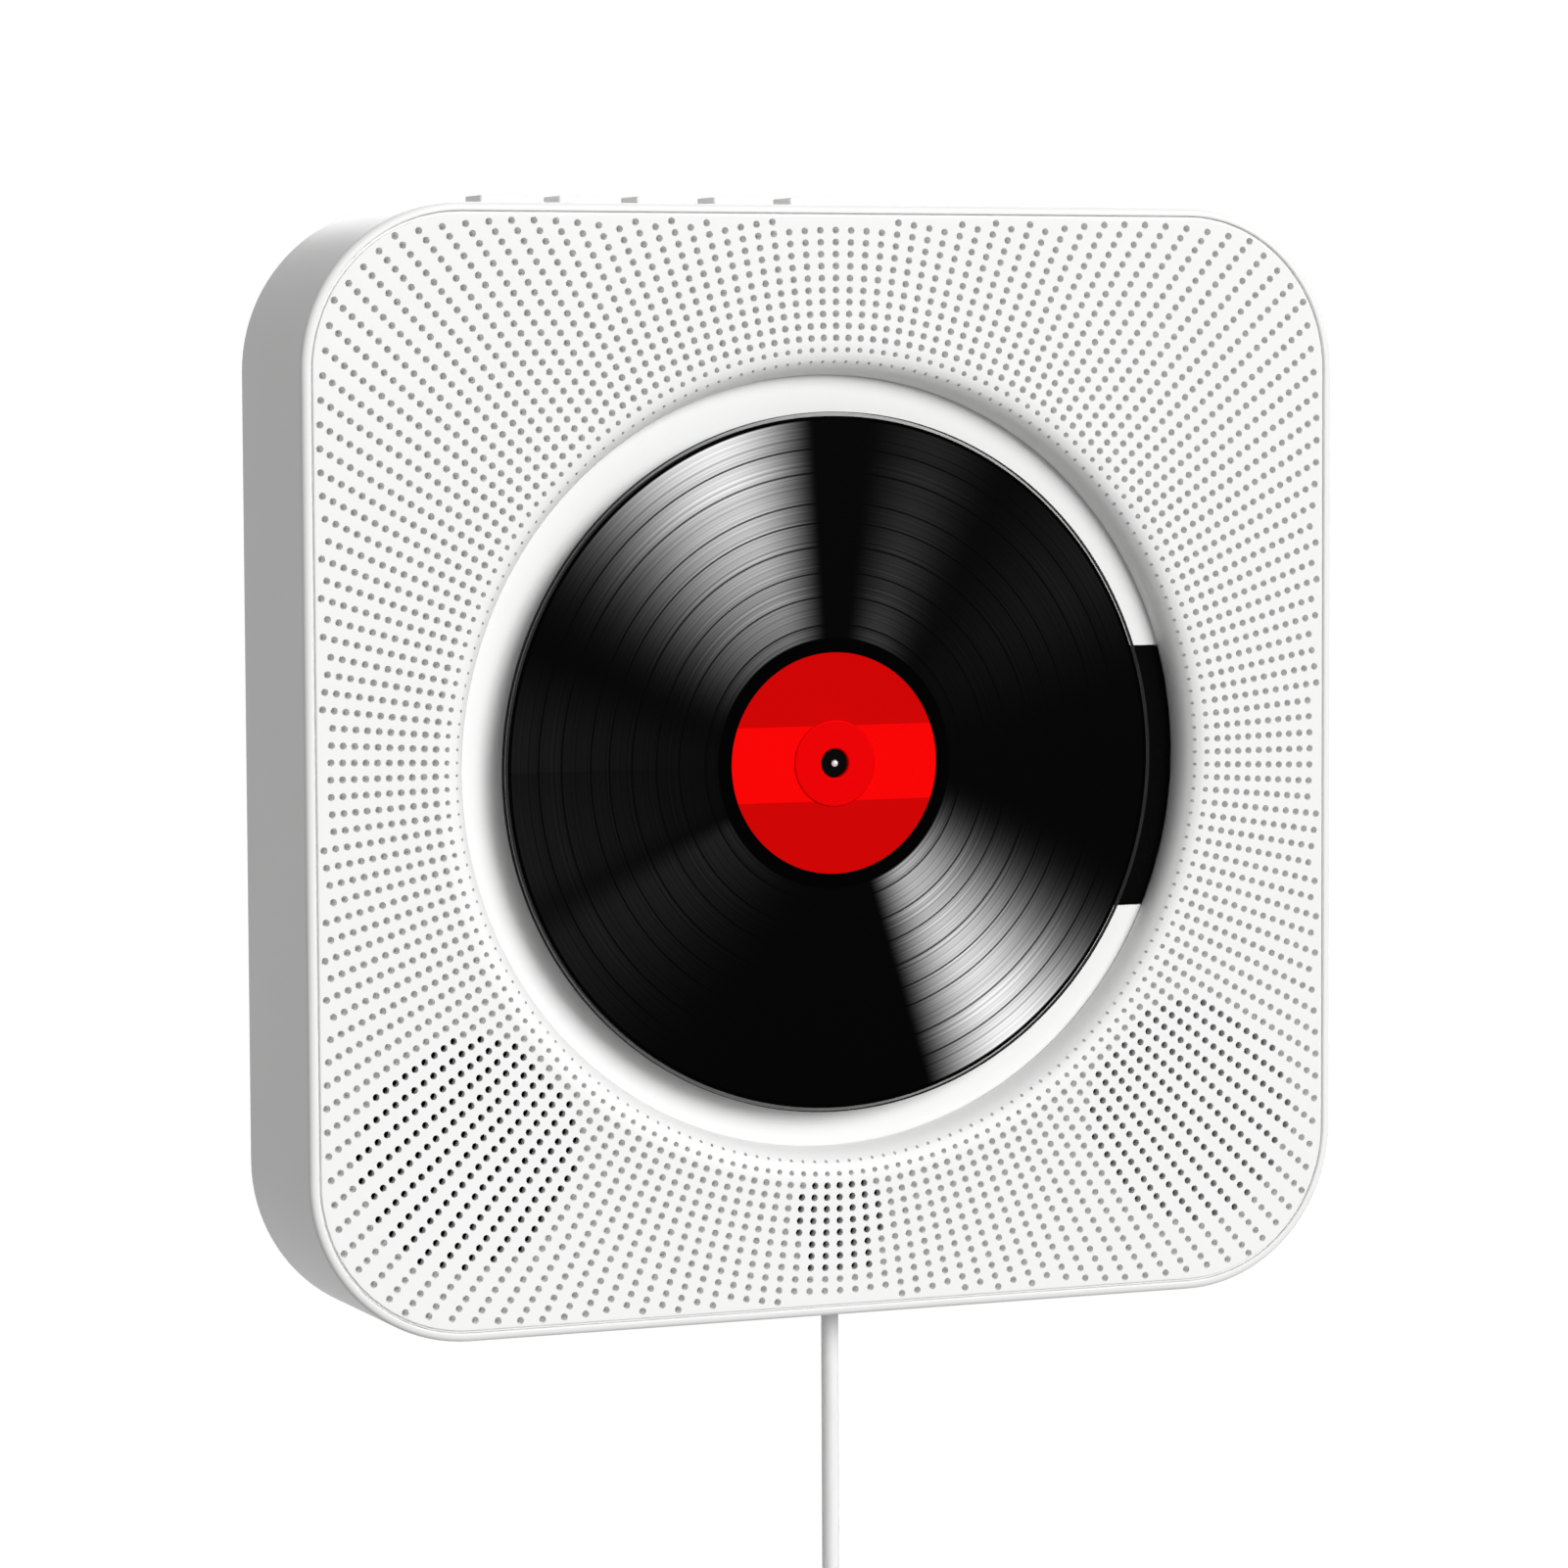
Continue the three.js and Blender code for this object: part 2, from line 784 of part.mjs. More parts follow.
function gearPlan(teeth, toothDirection, bore, x, z) {
  const pitchRadius = (teeth * gearModule) / 2;
  const baseRadius = pitchRadius * Math.cos(pressureAngle);
  const root = pitchRadius - dedendumShare * gearModule;
  const tip = pitchRadius + addendumShare * gearModule;
  const involute = (radius) => {
    const angle = Math.acos(Math.min(1, baseRadius / radius));
    return Math.tan(angle) - angle;
  };
  const halfAtPitch = (Math.PI * gearModule - gearBacklash) / 4 / pitchRadius;
  const halfAngle = (radius) => halfAtPitch + involute(pitchRadius) - involute(radius);
  const flankStart = Math.max(root, baseRadius);
  const flankStep = (tip - flankStart) / flankSteps;
  const flank = [...Array(flankSteps + 1).keys()].map((step) => flankStart + step * flankStep);
  const points = [];
  for (let tooth = 0; tooth < teeth; tooth += 1) {
    const middle = toothDirection + circleAngle(tooth / teeth);
    const at = (radius, angle) => points.push(around(radius, angle, x, z));
    at(root, middle - halfAngle(flankStart));
    flank.forEach((radius) => at(radius, middle - halfAngle(radius)));
    [...flank].reverse().forEach((radius) => at(radius, middle + halfAngle(radius)));
    at(root, middle + halfAngle(flankStart));
  }
  const plan = new THREE.Shape(points);
  if (bore > 0) plan.holes.push(circleHole(x, z, bore));
  return plan;
}

function feedGear() {
  const bore = gearAxleRadius + seatGap;
  const small = gearPlan(rackGearTeeth, Math.PI / 2, bore, gearAxleX, gearAxleZ);
  const large = gearPlan(driveGearTeeth, pinionDirection, bore, gearAxleX, gearAxleZ);
  const middle = (driveGearFront + driveGearBack) / 2;
  return join(plate(small, rackFront, middle), plate(large, driveGearFront, driveGearBack));
}

function feedPinion() {
  const gapDirection = pinionDirection + Math.PI + Math.PI / pinionTeeth;
  const plan = gearPlan(pinionTeeth, gapDirection, 0, pinionX, pinionZ);
  return join(
    plate(plan, driveGearFront, driveGearBack),
    barY(shaftRadius, sledMotorMiddle, driveGearFront + gearThickness / 2, pinionX, pinionZ, tinySegments),
  );
}

function sledMotor() {
  const can = barY(sledMotorRadius, sledMotorFront, sledMotorBack, pinionX, pinionZ, roundSegments);
  const boreFront = sledMotorMiddle - seatGap;
  return cut(can, barY(shaftRadius + seatGap, boreFront, sledMotorBack + overrun, pinionX, pinionZ));
}

function pickupSled() {
  const low = lensInner - sledHalfLength;
  const high = lensInner + sledHalfLength;
  const rackLeft = gearAxleX - lensTravel - gearModule * Math.PI;
  const body = block([low, high], [sledFront, sledBack], [-sledHalfWidth, sledHalfWidth]);
  const tower = block(
    [lensInner - towerHalf, lensInner + towerHalf],
    [trayFront + seatGap, rodDepth],
    [-towerHalf, towerHalf],
  );
  const arm = block([low, high], [rodDepth, rackBack], [-rackRoot, -rackTop + rackBarHeight]);
  const rack = plate(rackPlan(rackLeft, high), rackFront, rackBack);
  const wellBottom = lensBack + lensFocus + seatGap;
  const lensWell = barY(lensRadius + 2 * seatGap, trayFront - overrun, wellBottom, lensInner, 0);
  const bores = rodPlaces().map((z) => barX(rodBore, low - overrun, high + overrun, rodDepth, z));
  return cut(join(body, tower, arm, rack), lensWell, ...bores);
}

function pickupLens() {
  return turned(
    [
      [0, lensFront],
      [lensRadius / 2, lensFront + lensFocus / 2],
      [lensRadius, lensFront + lensFocus * 2],
      [lensRadius, lensBack],
      [0, lensBack],
    ],
    smallSegments,
    lensInner,
    0,
  );
}

// Speakers, each drawn round its own centre

const speakerScreen = () =>
  turned([
    [0, screenFront],
    [speakerFlange, screenFront],
    [speakerFlange, screenFront + screenThickness],
    [0, screenFront + screenThickness],
  ]);

function speakerFrame() {
  const throat = surroundOuter + seatGap;
  const neck = speakerMagnetRadius - speakerBasketWall;
  const coilHole = coilRadius + coneTravel;
  const bend = flangeBack + speakerBasketDepth / 3;
  return turned([
    [throat, flangeFront],
    [speakerFlange, flangeFront],
    [speakerFlange, flangeBack],
    [throat + speakerBasketWall, flangeBack],
    [throat + speakerBasketWall, bend],
    [neck + speakerBasketWall, basketBack + speakerBasketWall],
    [coilHole, basketBack + speakerBasketWall],
    [coilHole, basketBack],
    [neck, basketBack],
    [throat, bend],
  ]);
}

const speakerMagnet = () =>
  turned([
    [0, magnetFront],
    [speakerMagnetRadius, magnetFront],
    [speakerMagnetRadius, magnetFront + speakerMagnetLength],
    [0, magnetFront + speakerMagnetLength],
  ]);

function speakerSurround() {
  const inner = coneRadius + seatGap;
  const middle = (inner + surroundOuter) / 2;
  const top = coneFront - surroundRise;
  return turned([
    [inner, coneFront],
    [middle - surroundWidth / 4, top],
    [middle + surroundWidth / 4, top],
    [surroundOuter, coneFront],
    [surroundOuter, coneFront + surroundThickness],
    [middle + surroundWidth / 4, top + surroundThickness],
    [middle - surroundWidth / 4, top + surroundThickness],
    [inner, coneFront + surroundThickness],
  ]);
}

function speakerCone() {
  const capTop = coneFront + coneDepth / 2;
  const coilFront = coneFront + coneDepth;
  return turned([
    [0, capTop],
    [coilRadius / 2, capTop + coneThickness / 2],
    [coilRadius, coilFront - coneThickness],
    [coneRadius, coneFront],
    [coneRadius, coneFront + coneThickness],
    [coilRadius, coilFront + coneThickness],
    [coilRadius, coilFront + coilLength],
    [0, coilFront + coilLength],
  ]);
}

// Infrared receiver, buttons and boards

function irReceiver() {
  const front = panelThickness + seatGap;
  const back = front + eyeDepth + boardThickness / 2;
  const halfWidth = eyeWidth / 2;
  const halfHeight = eyeHeight / 2;
  const edge = eyeBoardMargin;
  return join(
    block(
      [-halfWidth, halfWidth],
      [front, back],
      [-eyeDrop - halfHeight, -eyeDrop + halfHeight],
    ),
    block(
      [-halfWidth - edge, halfWidth + edge],
      [front + eyeDepth, back],
      [-eyeDrop - halfHeight - edge, -eyeDrop + halfHeight + edge],
    ),
  );
}

function buttonBoardPosts() {
  const reach = buttonPitch - buttonWidth / 4;
  return [buttonX(0) - reach, buttonX(buttonNames.length - 1) + reach];
}

function button(place) {
  const x = buttonX(place);
  const half = buttonWidth / 2;
  const reach = buttonLength / 2;
  const stemTop = buttonFlangeTop - buttonFlange / 2;
  const cap = new THREE.ExtrudeGeometry(roundedPlan(half, reach, buttonCorner), {
    depth: bodyHalf + buttonRise - stemTop,
    bevelEnabled: false,
    curveSegments: edgeSteps,
  });
  cap.translate(x, yAt(buttonDepth), stemTop);
  const flange = block(
    [x - half - buttonFlange, x + half + buttonFlange],
    [buttonDepth - reach - buttonFlange, buttonDepth + reach + buttonFlange],
    [buttonFlangeTop - buttonFlange, buttonFlangeTop],
  );
  const stem = barZ(buttonStemRadius, buttonStemEnd, stemTop, x, buttonDepth, tinySegments);
  return join(solid(cap), flange, stem);
}

function keySwitch(place) {
  const x = buttonX(place);
  const half = keySwitchWidth / 2;
  const box = block(
    [x - half, x + half],
    [buttonDepth - half, buttonDepth + half],
    [buttonBoardTop - boardThickness / 2, keySwitchTop],
  );
  const bottom = buttonStemEnd - buttonTravel - seatGap;
  const top = keySwitchTop + overrun;
  return cut(box, barZ(buttonStemRadius + seatGap, bottom, top, x, buttonDepth, tinySegments));
}

function buttonBoard() {
  const [left, right] = buttonBoardPosts();
  const reach = buttonLength / 2 + standoffRadius;
  const board = block(
    [left - standoffRadius, right + standoffRadius],
    [buttonDepth - reach, buttonDepth + reach],
    [buttonBoardTop - boardThickness, buttonBoardTop],
  );
  return join(board, ...buttonNames.map((name, place) => keySwitch(place)));
}

function mainBoard() {
  const front = mainBoardDepth;
  const board = block(
    [-mainBoardLeft, mainBoardRight],
    [front, front + boardThickness],
    [mainBoardBottom, mainBoardTop],
  );
  const row = (mainBoardBottom + mainBoardTop) / 2;
  const chips = chipPlaceShares.map((share) => {
    const x = share * chipSide;
    return block(
      [x - chipSide / 2, x + chipSide / 2],
      [front - chipHeight, front + boardThickness / 2],
      [row - chipSide / 2, row + chipSide / 2],
    );
  });
  const clearances = standoffPlaces().map(([x, z]) =>
    barY(standoffRadius + 2 * seatGap, front - overrun, front + boardThickness + overrun, x, z),
  );
  return cut(join(board, ...chips), ...clearances);
}

function socket(side, z, noseRadius, boreRadius, boreDepth) {
  const left = bodyHalf - boreDepth - socketBack;
  const half = side / 2;
  const box = block(
    [left, mainBoardRight],
    [socketAxisDepth - half, mainBoardDepth - seatGap],
    [z - half, z + half],
  );
  const nose = barX(noseRadius, mainBoardRight - socketBack, bodyHalf, socketAxisDepth, z);
  const bore = barX(boreRadius, bodyHalf - boreDepth, bodyHalf + overrun, socketAxisDepth, z);
  return cut(join(box, nose), bore);
}

function powerSocket() {
  const shell = socket(powerSocketSide, powerSocketZ, powerNoseRadius, powerBoreRadius, powerBoreDepth);
  const pinLeft = bodyHalf - powerBoreDepth - socketBack / 2;
  const pinEnd = bodyHalf - powerPinRadius;
  const pin = barX(powerPinRadius, pinLeft, pinEnd, socketAxisDepth, powerSocketZ, tinySegments);
  return join(shell, pin);
}

const audioSocket = () =>
  socket(audioSocketSide, audioSocketZ, audioNoseRadius, audioBoreRadius, audioBoreDepth);

// Rear cover, pads and wall bracket

function hookSlots() {
  const half = hookWidth / 2 + seatGap * 2;
  const top = hookTopZ + seatGap;
  return [-hookX, hookX].map((x) =>
    block([x - half, x + half], [coverFront - overrun, coverBack + overrun], [top - hookSlotHeight, top]),
  );
}

function standoffPlaces() {
  return [-standoffInset, standoffInset].flatMap((x) => [[x, -standoffInset], [x, standoffInset]]);
}

function boardPostPlaces() {
  const edge = standoffRadius * 2;
  return [-mainBoardLeft + edge, mainBoardRight - 3 * edge].map((x) => [x, mainBoardTop - edge]);
}

function rearCover() {
  const sheet = plate(squarePlan(innerHalf - seatGap), coverFront, coverBack);
  const coverMiddle = (coverFront + coverBack) / 2;
  const boardBack = mainBoardDepth + boardThickness;
  const standoffs = standoffPlaces().map(([x, z]) =>
    barY(standoffRadius, trayBack + seatGap, coverMiddle, x, z),
  );
  const posts = boardPostPlaces().map(([x, z]) =>
    barY(standoffRadius, boardBack + seatGap, coverMiddle, x, z),
  );
  const screwHoles = screwPlaces().map(([x, z]) =>
    barY(screwRadius + seatGap, coverFront - overrun, coverBack + overrun, x, z, tinySegments),
  );
  return cut(join(sheet, ...standoffs, ...posts), ...hookSlots(), ...screwHoles);
}

const coverScrew = ([x, z]) => screw(coverFront - bossLength / 3, coverBack, x, z);

const wallPad = (x) =>
  barY(padRadius, coverBack, bodyDepth + wallGap - seatGap, x, -padX, roundSegments);

function hook(x) {
  const half = hookWidth / 2;
  const back = bodyDepth + wallGap;
  const lipBack = coverFront - seatGap;
  const lipFront = lipBack - hookLipThickness;
  return join(
    block([x - half, x + half], [lipFront, back - bracketThickness / 2], [hookTopZ - hookArm, hookTopZ]),
    block([x - half, x + half], [lipFront, lipBack], [hookTopZ - hookArm, hookTopZ + hookLip]),
  );
}

function wallBracket() {
  const back = bodyDepth + wallGap;
  const plan = roundedPlan(bracketWidth / 2, bracketHeight / 2, bracketCorner, 0, bracketZ);
  [-bracketHoleSpacing / 2, bracketHoleSpacing / 2].forEach((step) =>
    plan.holes.push(circleHole(0, bracketZ + step, bracketHoleRadius)),
  );
  return join(plate(plan, back - bracketThickness, back), hook(-hookX), hook(hookX));
}

// Pull switch, spring and cord

function pullSwitch() {
  const half = switchSide / 2;
  const low = innerBottom + seatGap;
  const box = block([cordX - half, cordX + half], [cordDepth - half, cordDepth + half], [low, switchTop]);
  return cut(box, barZ(half - switchWall, low - overrun, switchTop - switchWall, cordX, cordDepth));
}

function switchPlunger() {
  return turnedUpright(
    [
      [0, bottomZ],
      [cordRadius, bottomZ],
      [cordRadius, plungerBottom],
      [plungerRadius, plungerBottom],
      [plungerRadius, plungerTop],
      [0, plungerTop],
    ],
    cordX,
    cordDepth,
  );
}

function cordBushing() {
  const bore = cordRadius + seatGap;
  return turnedUpright(
    [
      [bore, bottomZ],
      [bushingRadius, bottomZ],
      [bushingRadius, innerBottom],
      [plungerRadius, innerBottom],
      [plungerRadius, bushingTop],
      [bore, bushingTop],
    ],
    cordX,
    cordDepth,
  );
}

class Helix extends THREE.Curve {
  constructor(radius, low, high, curls) {
    super();
    Object.assign(this, { radius, low, high, curls });
  }

  getPoint(share, target = new THREE.Vector3()) {
    const angle = circleAngle(share * this.curls);
    const height = this.low + share * (this.high - this.low);
    return target.set(this.radius * Math.cos(angle), this.radius * Math.sin(angle), height);
  }
}

function ringSection(radius, sides) {
  const corners = [...Array(sides).keys()].map((side) => circleAngle(side / sides));
  return new THREE.Shape(corners.map((angle) => around(radius, angle)));
}

function returnSpring() {
  const radius = cordRadius + seatGap + springWire;
  const low = springLow + springWire;
  const high = springLow + springLength - springWire;
  const geometry = new THREE.ExtrudeGeometry(ringSection(springWire, springSides), {
    steps: springCurls * springStepsPerCurl,
    extrudePath: new Helix(radius, low, high, springCurls),
  });
  geometry.translate(cordX, yAt(cordDepth), 0);
  return solid(geometry);
}

// The cord hangs straight down from its top
function cordRoute() {
  const steps = Math.round(cordLength / cordStep);
  return [...Array(steps + 1).keys()].map(
    (step) => new THREE.Vector3(cordX, yAt(cordDepth), cordTop - (step / steps) * cordLength),
  );
}

function pullCord() {
  const points = cordRoute();
  return solid(
    new THREE.ExtrudeGeometry(ringSection(cordRadius, cordSides), {
      steps: points.length - 1,
      extrudePath: new THREE.CatmullRomCurve3(points),
    }),
  );
}

function pullKnob() {
  const top = cordBottom - seatGap;
  const low = top - knobLength;
  return turnedUpright(
    [
      [0, low],
      [knobRadius - knobEdge, low],
      [knobRadius, low + knobEdge],
      [knobRadius, low + knobLength / 2],
      [knobTopRadius, top],
      [0, top],
    ],
    cordX,
    cordDepth,
    roundSegments,
  );
}

// Materials

const finish = (color, roughness, metalness = 0) =>
  new THREE.MeshStandardMaterial({ color, roughness, metalness });
const whiteShell = finish("#f1f1f0", 0.4);
const whitePanel = finish("#f6f6f5", 0.5);
const whiteCord = finish("#e9e9e7", 0.55);
const blackPlastic = finish("#101010", 0.45);
const blackDisc = finish("#050505", 0.2);
const redCap = finish("#e00000", 0.35);
const steel = finish("#c9ccd0", 0.25, 1);
const zinc = finish("#a9adb2", 0.4, 1);
const rubber = finish("#1c1c1c", 0.85);
const cloth = finish("#0b0b0b", 0.95);
const paper = finish("#2a2a2a", 0.8);
const circuit = finish("#1f5a36", 0.5);
const glass = finish("#8fb4d8", 0.05);
const ferrite = finish("#3a3a3c", 0.6);

// The scene graph: one group for each body that moves

function add(group, name, made, material) {
  const mesh = new THREE.Mesh(geometryOf(made), material);
  mesh.name = name;
  group.add(mesh);
}

function nested(parent) {
  const group = new THREE.Group();
  parent.add(group);
  return group;
}

const root = new THREE.Group();
add(root, "wall_bracket", wallBracket(), zinc);

const player = nested(root);
add(player, "body_shell", bodyShell(), whiteShell);
add(player, "front_grille", frontGrille(), whitePanel);
add(player, "disc_tray", discTray(), whitePanel);
add(player, "rear_cover", rearCover(), whiteShell);
screwPlaces().forEach((place, index) => {
  add(player, `cover_screw_${index + 1}`, coverScrew(place), steel);
});
add(player, "wall_pad_left", wallPad(-padX), rubber);
add(player, "wall_pad_right", wallPad(padX), rubber);
add(player, "ir_receiver", irReceiver(), blackPlastic);
add(player, "main_board", mainBoard(), circuit);
add(player, "button_board", buttonBoard(), circuit);
add(player, "power_socket", powerSocket(), blackPlastic);
add(player, "audio_socket", audioSocket(), blackPlastic);

add(player, "drive_chassis", driveChassis(), blackPlastic);
damperPlaces().forEach((place, index) => {
  add(player, `drive_damper_${index + 1}`, damper(place), rubber);
  add(player, `drive_screw_${index + 1}`, damperScrew(place), steel);
});
add(player, "spindle_motor", spindleMotor(), zinc);
add(player, "sled_motor", sledMotor(), zinc);
["guide_rod_upper", "guide_rod_lower"].forEach((name, index) => {
  add(player, name, guideRod(rodPlaces()[index]), steel);
});

const spindle = nested(player);
add(spindle, "turntable", turntable(), blackPlastic);
add(spindle, "hub_cap", hubCap(), redCap);
add(spindle, "spindle_shaft", spindleShaft(), steel);
add(nested(spindle), "disc", disc(), blackDisc);

const sled = nested(player);
add(sled, "pickup_sled", pickupSled(), blackPlastic);
add(nested(sled), "pickup_lens", pickupLens(), glass);
add(nested(player), "feed_gear", feedGear(), whitePanel);
add(nested(player), "feed_pinion", feedPinion(), whitePanel);

[["left", -speakerX], ["right", speakerX]].forEach(([side, x]) => {
  const speaker = nested(player);
  speaker.position.set(x, 0, -speakerDrop);
  add(speaker, `speaker_screen_${side}`, speakerScreen(), cloth);
  add(speaker, `speaker_frame_${side}`, speakerFrame(), blackPlastic);
  add(speaker, `speaker_magnet_${side}`, speakerMagnet(), ferrite);
  add(speaker, `speaker_surround_${side}`, speakerSurround(), rubber);
  add(nested(speaker), `speaker_cone_${side}`, speakerCone(), paper);
});

buttonNames.forEach((name, place) => add(nested(player), `button_${name}`, button(place), whiteShell));

add(player, "pull_switch", pullSwitch(), blackPlastic);
add(player, "cord_bushing", cordBushing(), whiteShell);
add(player, "return_spring", returnSpring(), steel);
const pull = nested(player);
add(pull, "switch_plunger", switchPlunger(), whiteCord);
add(pull, "pull_cord", pullCord(), whiteCord);
add(pull, "pull_knob", pullKnob(), whiteShell);

export default root;
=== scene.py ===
# A wall-mounted CD player, dressed as a Blender add-on that is run as a script.
# Metres, seen from the front: +X right, +Z up, +Y towards the wall.
# Depths are counted back from the front face.
import json
import math

import bmesh
import bpy
from mathutils import Matrix, Vector


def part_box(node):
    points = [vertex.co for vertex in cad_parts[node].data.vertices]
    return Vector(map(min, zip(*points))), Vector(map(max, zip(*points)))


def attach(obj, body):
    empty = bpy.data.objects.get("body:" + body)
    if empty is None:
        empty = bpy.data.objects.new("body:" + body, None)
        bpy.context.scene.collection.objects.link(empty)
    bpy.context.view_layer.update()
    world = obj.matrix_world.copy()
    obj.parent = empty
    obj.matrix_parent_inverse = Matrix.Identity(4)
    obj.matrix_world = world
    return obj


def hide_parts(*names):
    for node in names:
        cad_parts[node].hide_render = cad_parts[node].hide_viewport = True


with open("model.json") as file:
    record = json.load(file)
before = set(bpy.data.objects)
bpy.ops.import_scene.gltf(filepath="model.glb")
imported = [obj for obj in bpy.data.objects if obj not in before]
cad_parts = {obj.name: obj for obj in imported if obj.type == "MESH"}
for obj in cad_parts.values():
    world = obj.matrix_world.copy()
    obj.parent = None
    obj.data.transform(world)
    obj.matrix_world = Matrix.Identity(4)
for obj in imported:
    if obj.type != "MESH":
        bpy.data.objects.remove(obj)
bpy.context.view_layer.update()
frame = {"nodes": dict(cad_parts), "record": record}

bl_info = {
    "name": "Wall CD player",
    "version": (1, 0, 0),
    "blender": (4, 5, 0),
    "location": "3D View > Sidebar > CD Player",
    "description": "Models the fine shapes, finishes, light and camera of a wall-mounted CD player",
    "category": "Object",
}

MM = 0.001
MERGE = 0.002 * MM
OVERRUN = 2 * MM
FULL_TURN = math.tau
QUARTER = math.pi / 2
SIDEWAYS = Vector((1, 0, 0))
INWARD = Vector((0, 1, 0))
UPRIGHT = Vector((0, 0, 1))
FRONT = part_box("front_grille")[0].y
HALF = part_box("body_shell")[1].x
BODIES = frame["record"]["behaviour"]["bodies"]
BODY_OF = {node: body for body, nodes in BODIES.items() for node in nodes}
SLOT_OF = {part["node"]: part["material_slot"] for part in frame["record"]["subparts"]}
BUTTONS = [node for node in BODY_OF if node.startswith("button_") and node != "button_board"]
COVER_SCREWS = [node for node in BODY_OF if node.startswith("cover_screw_")]

# Each socket's nose radius, bore radius and bore depth
SOCKETS = {
    "power_socket": (4.2 * MM, 2.9 * MM, 9 * MM),
    "audio_socket": (3.2 * MM, 1.8 * MM, 14 * MM),
}


class Extent:
    """Corners, middle, depths and half width of a CAD node"""

    def __init__(self, node):
        self.low, self.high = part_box(node)
        self.x = (self.low.x + self.high.x) / 2
        self.y = (self.low.y + self.high.y) / 2
        self.z = (self.low.z + self.high.z) / 2
        self.front = self.low.y - FRONT
        self.back = self.high.y - FRONT
        self.radius = (self.high.x - self.low.x) / 2


# Settings that a user may change

def length(name, millimetres, description):
    return bpy.props.FloatProperty(
        name=name, description=description, default=millimetres * MM, min=0, precision=5,
        subtype="DISTANCE", unit="LENGTH",
    )


def angle(name, degrees, description):
    return bpy.props.FloatProperty(
        name=name, description=description, default=math.radians(degrees), subtype="ANGLE", unit="ROTATION",
    )


def count(name, number, description):
    return bpy.props.IntProperty(name=name, description=description, default=number, min=1)


def share(name, value, description):
    return bpy.props.FloatProperty(name=name, description=description, default=value, min=0, subtype="FACTOR")


def tint(name, rgb, description):
    return bpy.props.FloatVectorProperty(
        name=name, description=description, default=rgb, min=0, max=1, size=3, subtype="COLOR",
    )


def grey(value):
    return value, value, value


class ShellSettings(bpy.types.PropertyGroup):
    """Body shell"""
    corner: length("Corner", 28, "Corner radius of the square body")
    edge: length("Edge", 1, "Rounding of the outer edges")
    rim: length("Rim", 1.5, "Flat band round the grille")
    rim_edge: length("Rim edge", 0.25, "Rounding of the band's inner edge")
    wall: length("Wall", 2.4, "Thickness of the side wall")
    ledge: length("Ledge", 3, "Reach of the ledges that carry the grille and the rear cover")
    ledge_wall: length("Ledge wall", 2, "Thickness of the ledges")
    cover: length("Cover", 2, "Thickness of the rear cover")
    seat: length("Seat gap", 0.3, "Clearance of a piece in its seat")
    flange: length("Flange", 1, "Reach and thickness of a button's flange")
    bushing: length("Bushing", 3, "Radius of the cord bushing in the wall")
    steps: count("Steps", 24, "Steps round each corner")


class GrilleSettings(bpy.types.PropertyGroup):
    """Front grille"""
    half: length("Half side", 93.1, "Half the side of the panel")
    thickness: length("Thickness", 2.4, "Thickness of the panel")
    edge: length("Edge", 0.2, "Rounding of the panel's front edge")
    roll_radius: length("Roll radius", 70.9, "Where the flat face starts to roll into the well")
    roll_width: length("Roll width", 4.6, "How far the roll reaches in")
    roll_steps: count("Roll steps", 10, "Steps of the roll")
    well_depth: length("Well depth", 5.8, "Depth of the well's wall")
    well_wall: length("Well wall", 1.6, "Thickness of the well's wall at its end")
    rays: count("Rays", 200, "Rays of perforations")
    row_pitch: length("Row pitch", 2.0207, "Distance between rows of perforations")
    row_offset: length("Row offset", 0.227, "How far row zero lies inside the centre")
    field_half: length("Field half side", 92.25, "Half the side of the square that holds the holes' centres")
    hole: length("Hole", 1.26, "Diameter of a perforation at its mouth")
    second_hole: length("Second row hole", 0.96, "Diameter in the second row")
    first_hole: length("First row hole", 0.56, "Diameter in the first row")
    taper: share("Taper", 0.74, "Size of a perforation's floor beside its mouth")
    dimple: length("Dimple", 2, "Depth of the perforations that don't go through")
    neck: length("Neck", 0.5, "Depth at which a through hole starts to widen")
    flare: length("Flare", 1.9, "Diameter of a through hole at the back")
    step: length("Step", 0.5, "Depth of the narrow groove round the panel")
    step_gap: length("Step gap", 0.06, "Clearance between the groove's floor and the body's rim")
    slack: length("Slack", 0.1, "How far a cell on the roll may lie from its row")
    sound_radius: length("Sound field", 19.7, "Radius of each field of through holes")
    eye_half_width: length("Eye half width", 7.6, "Half width of the field before the receiver")
    eye_half_height: length("Eye half height", 7.3, "Half height of the field before the receiver")
    outline_steps: count("Outline steps", 14, "Steps round each corner")


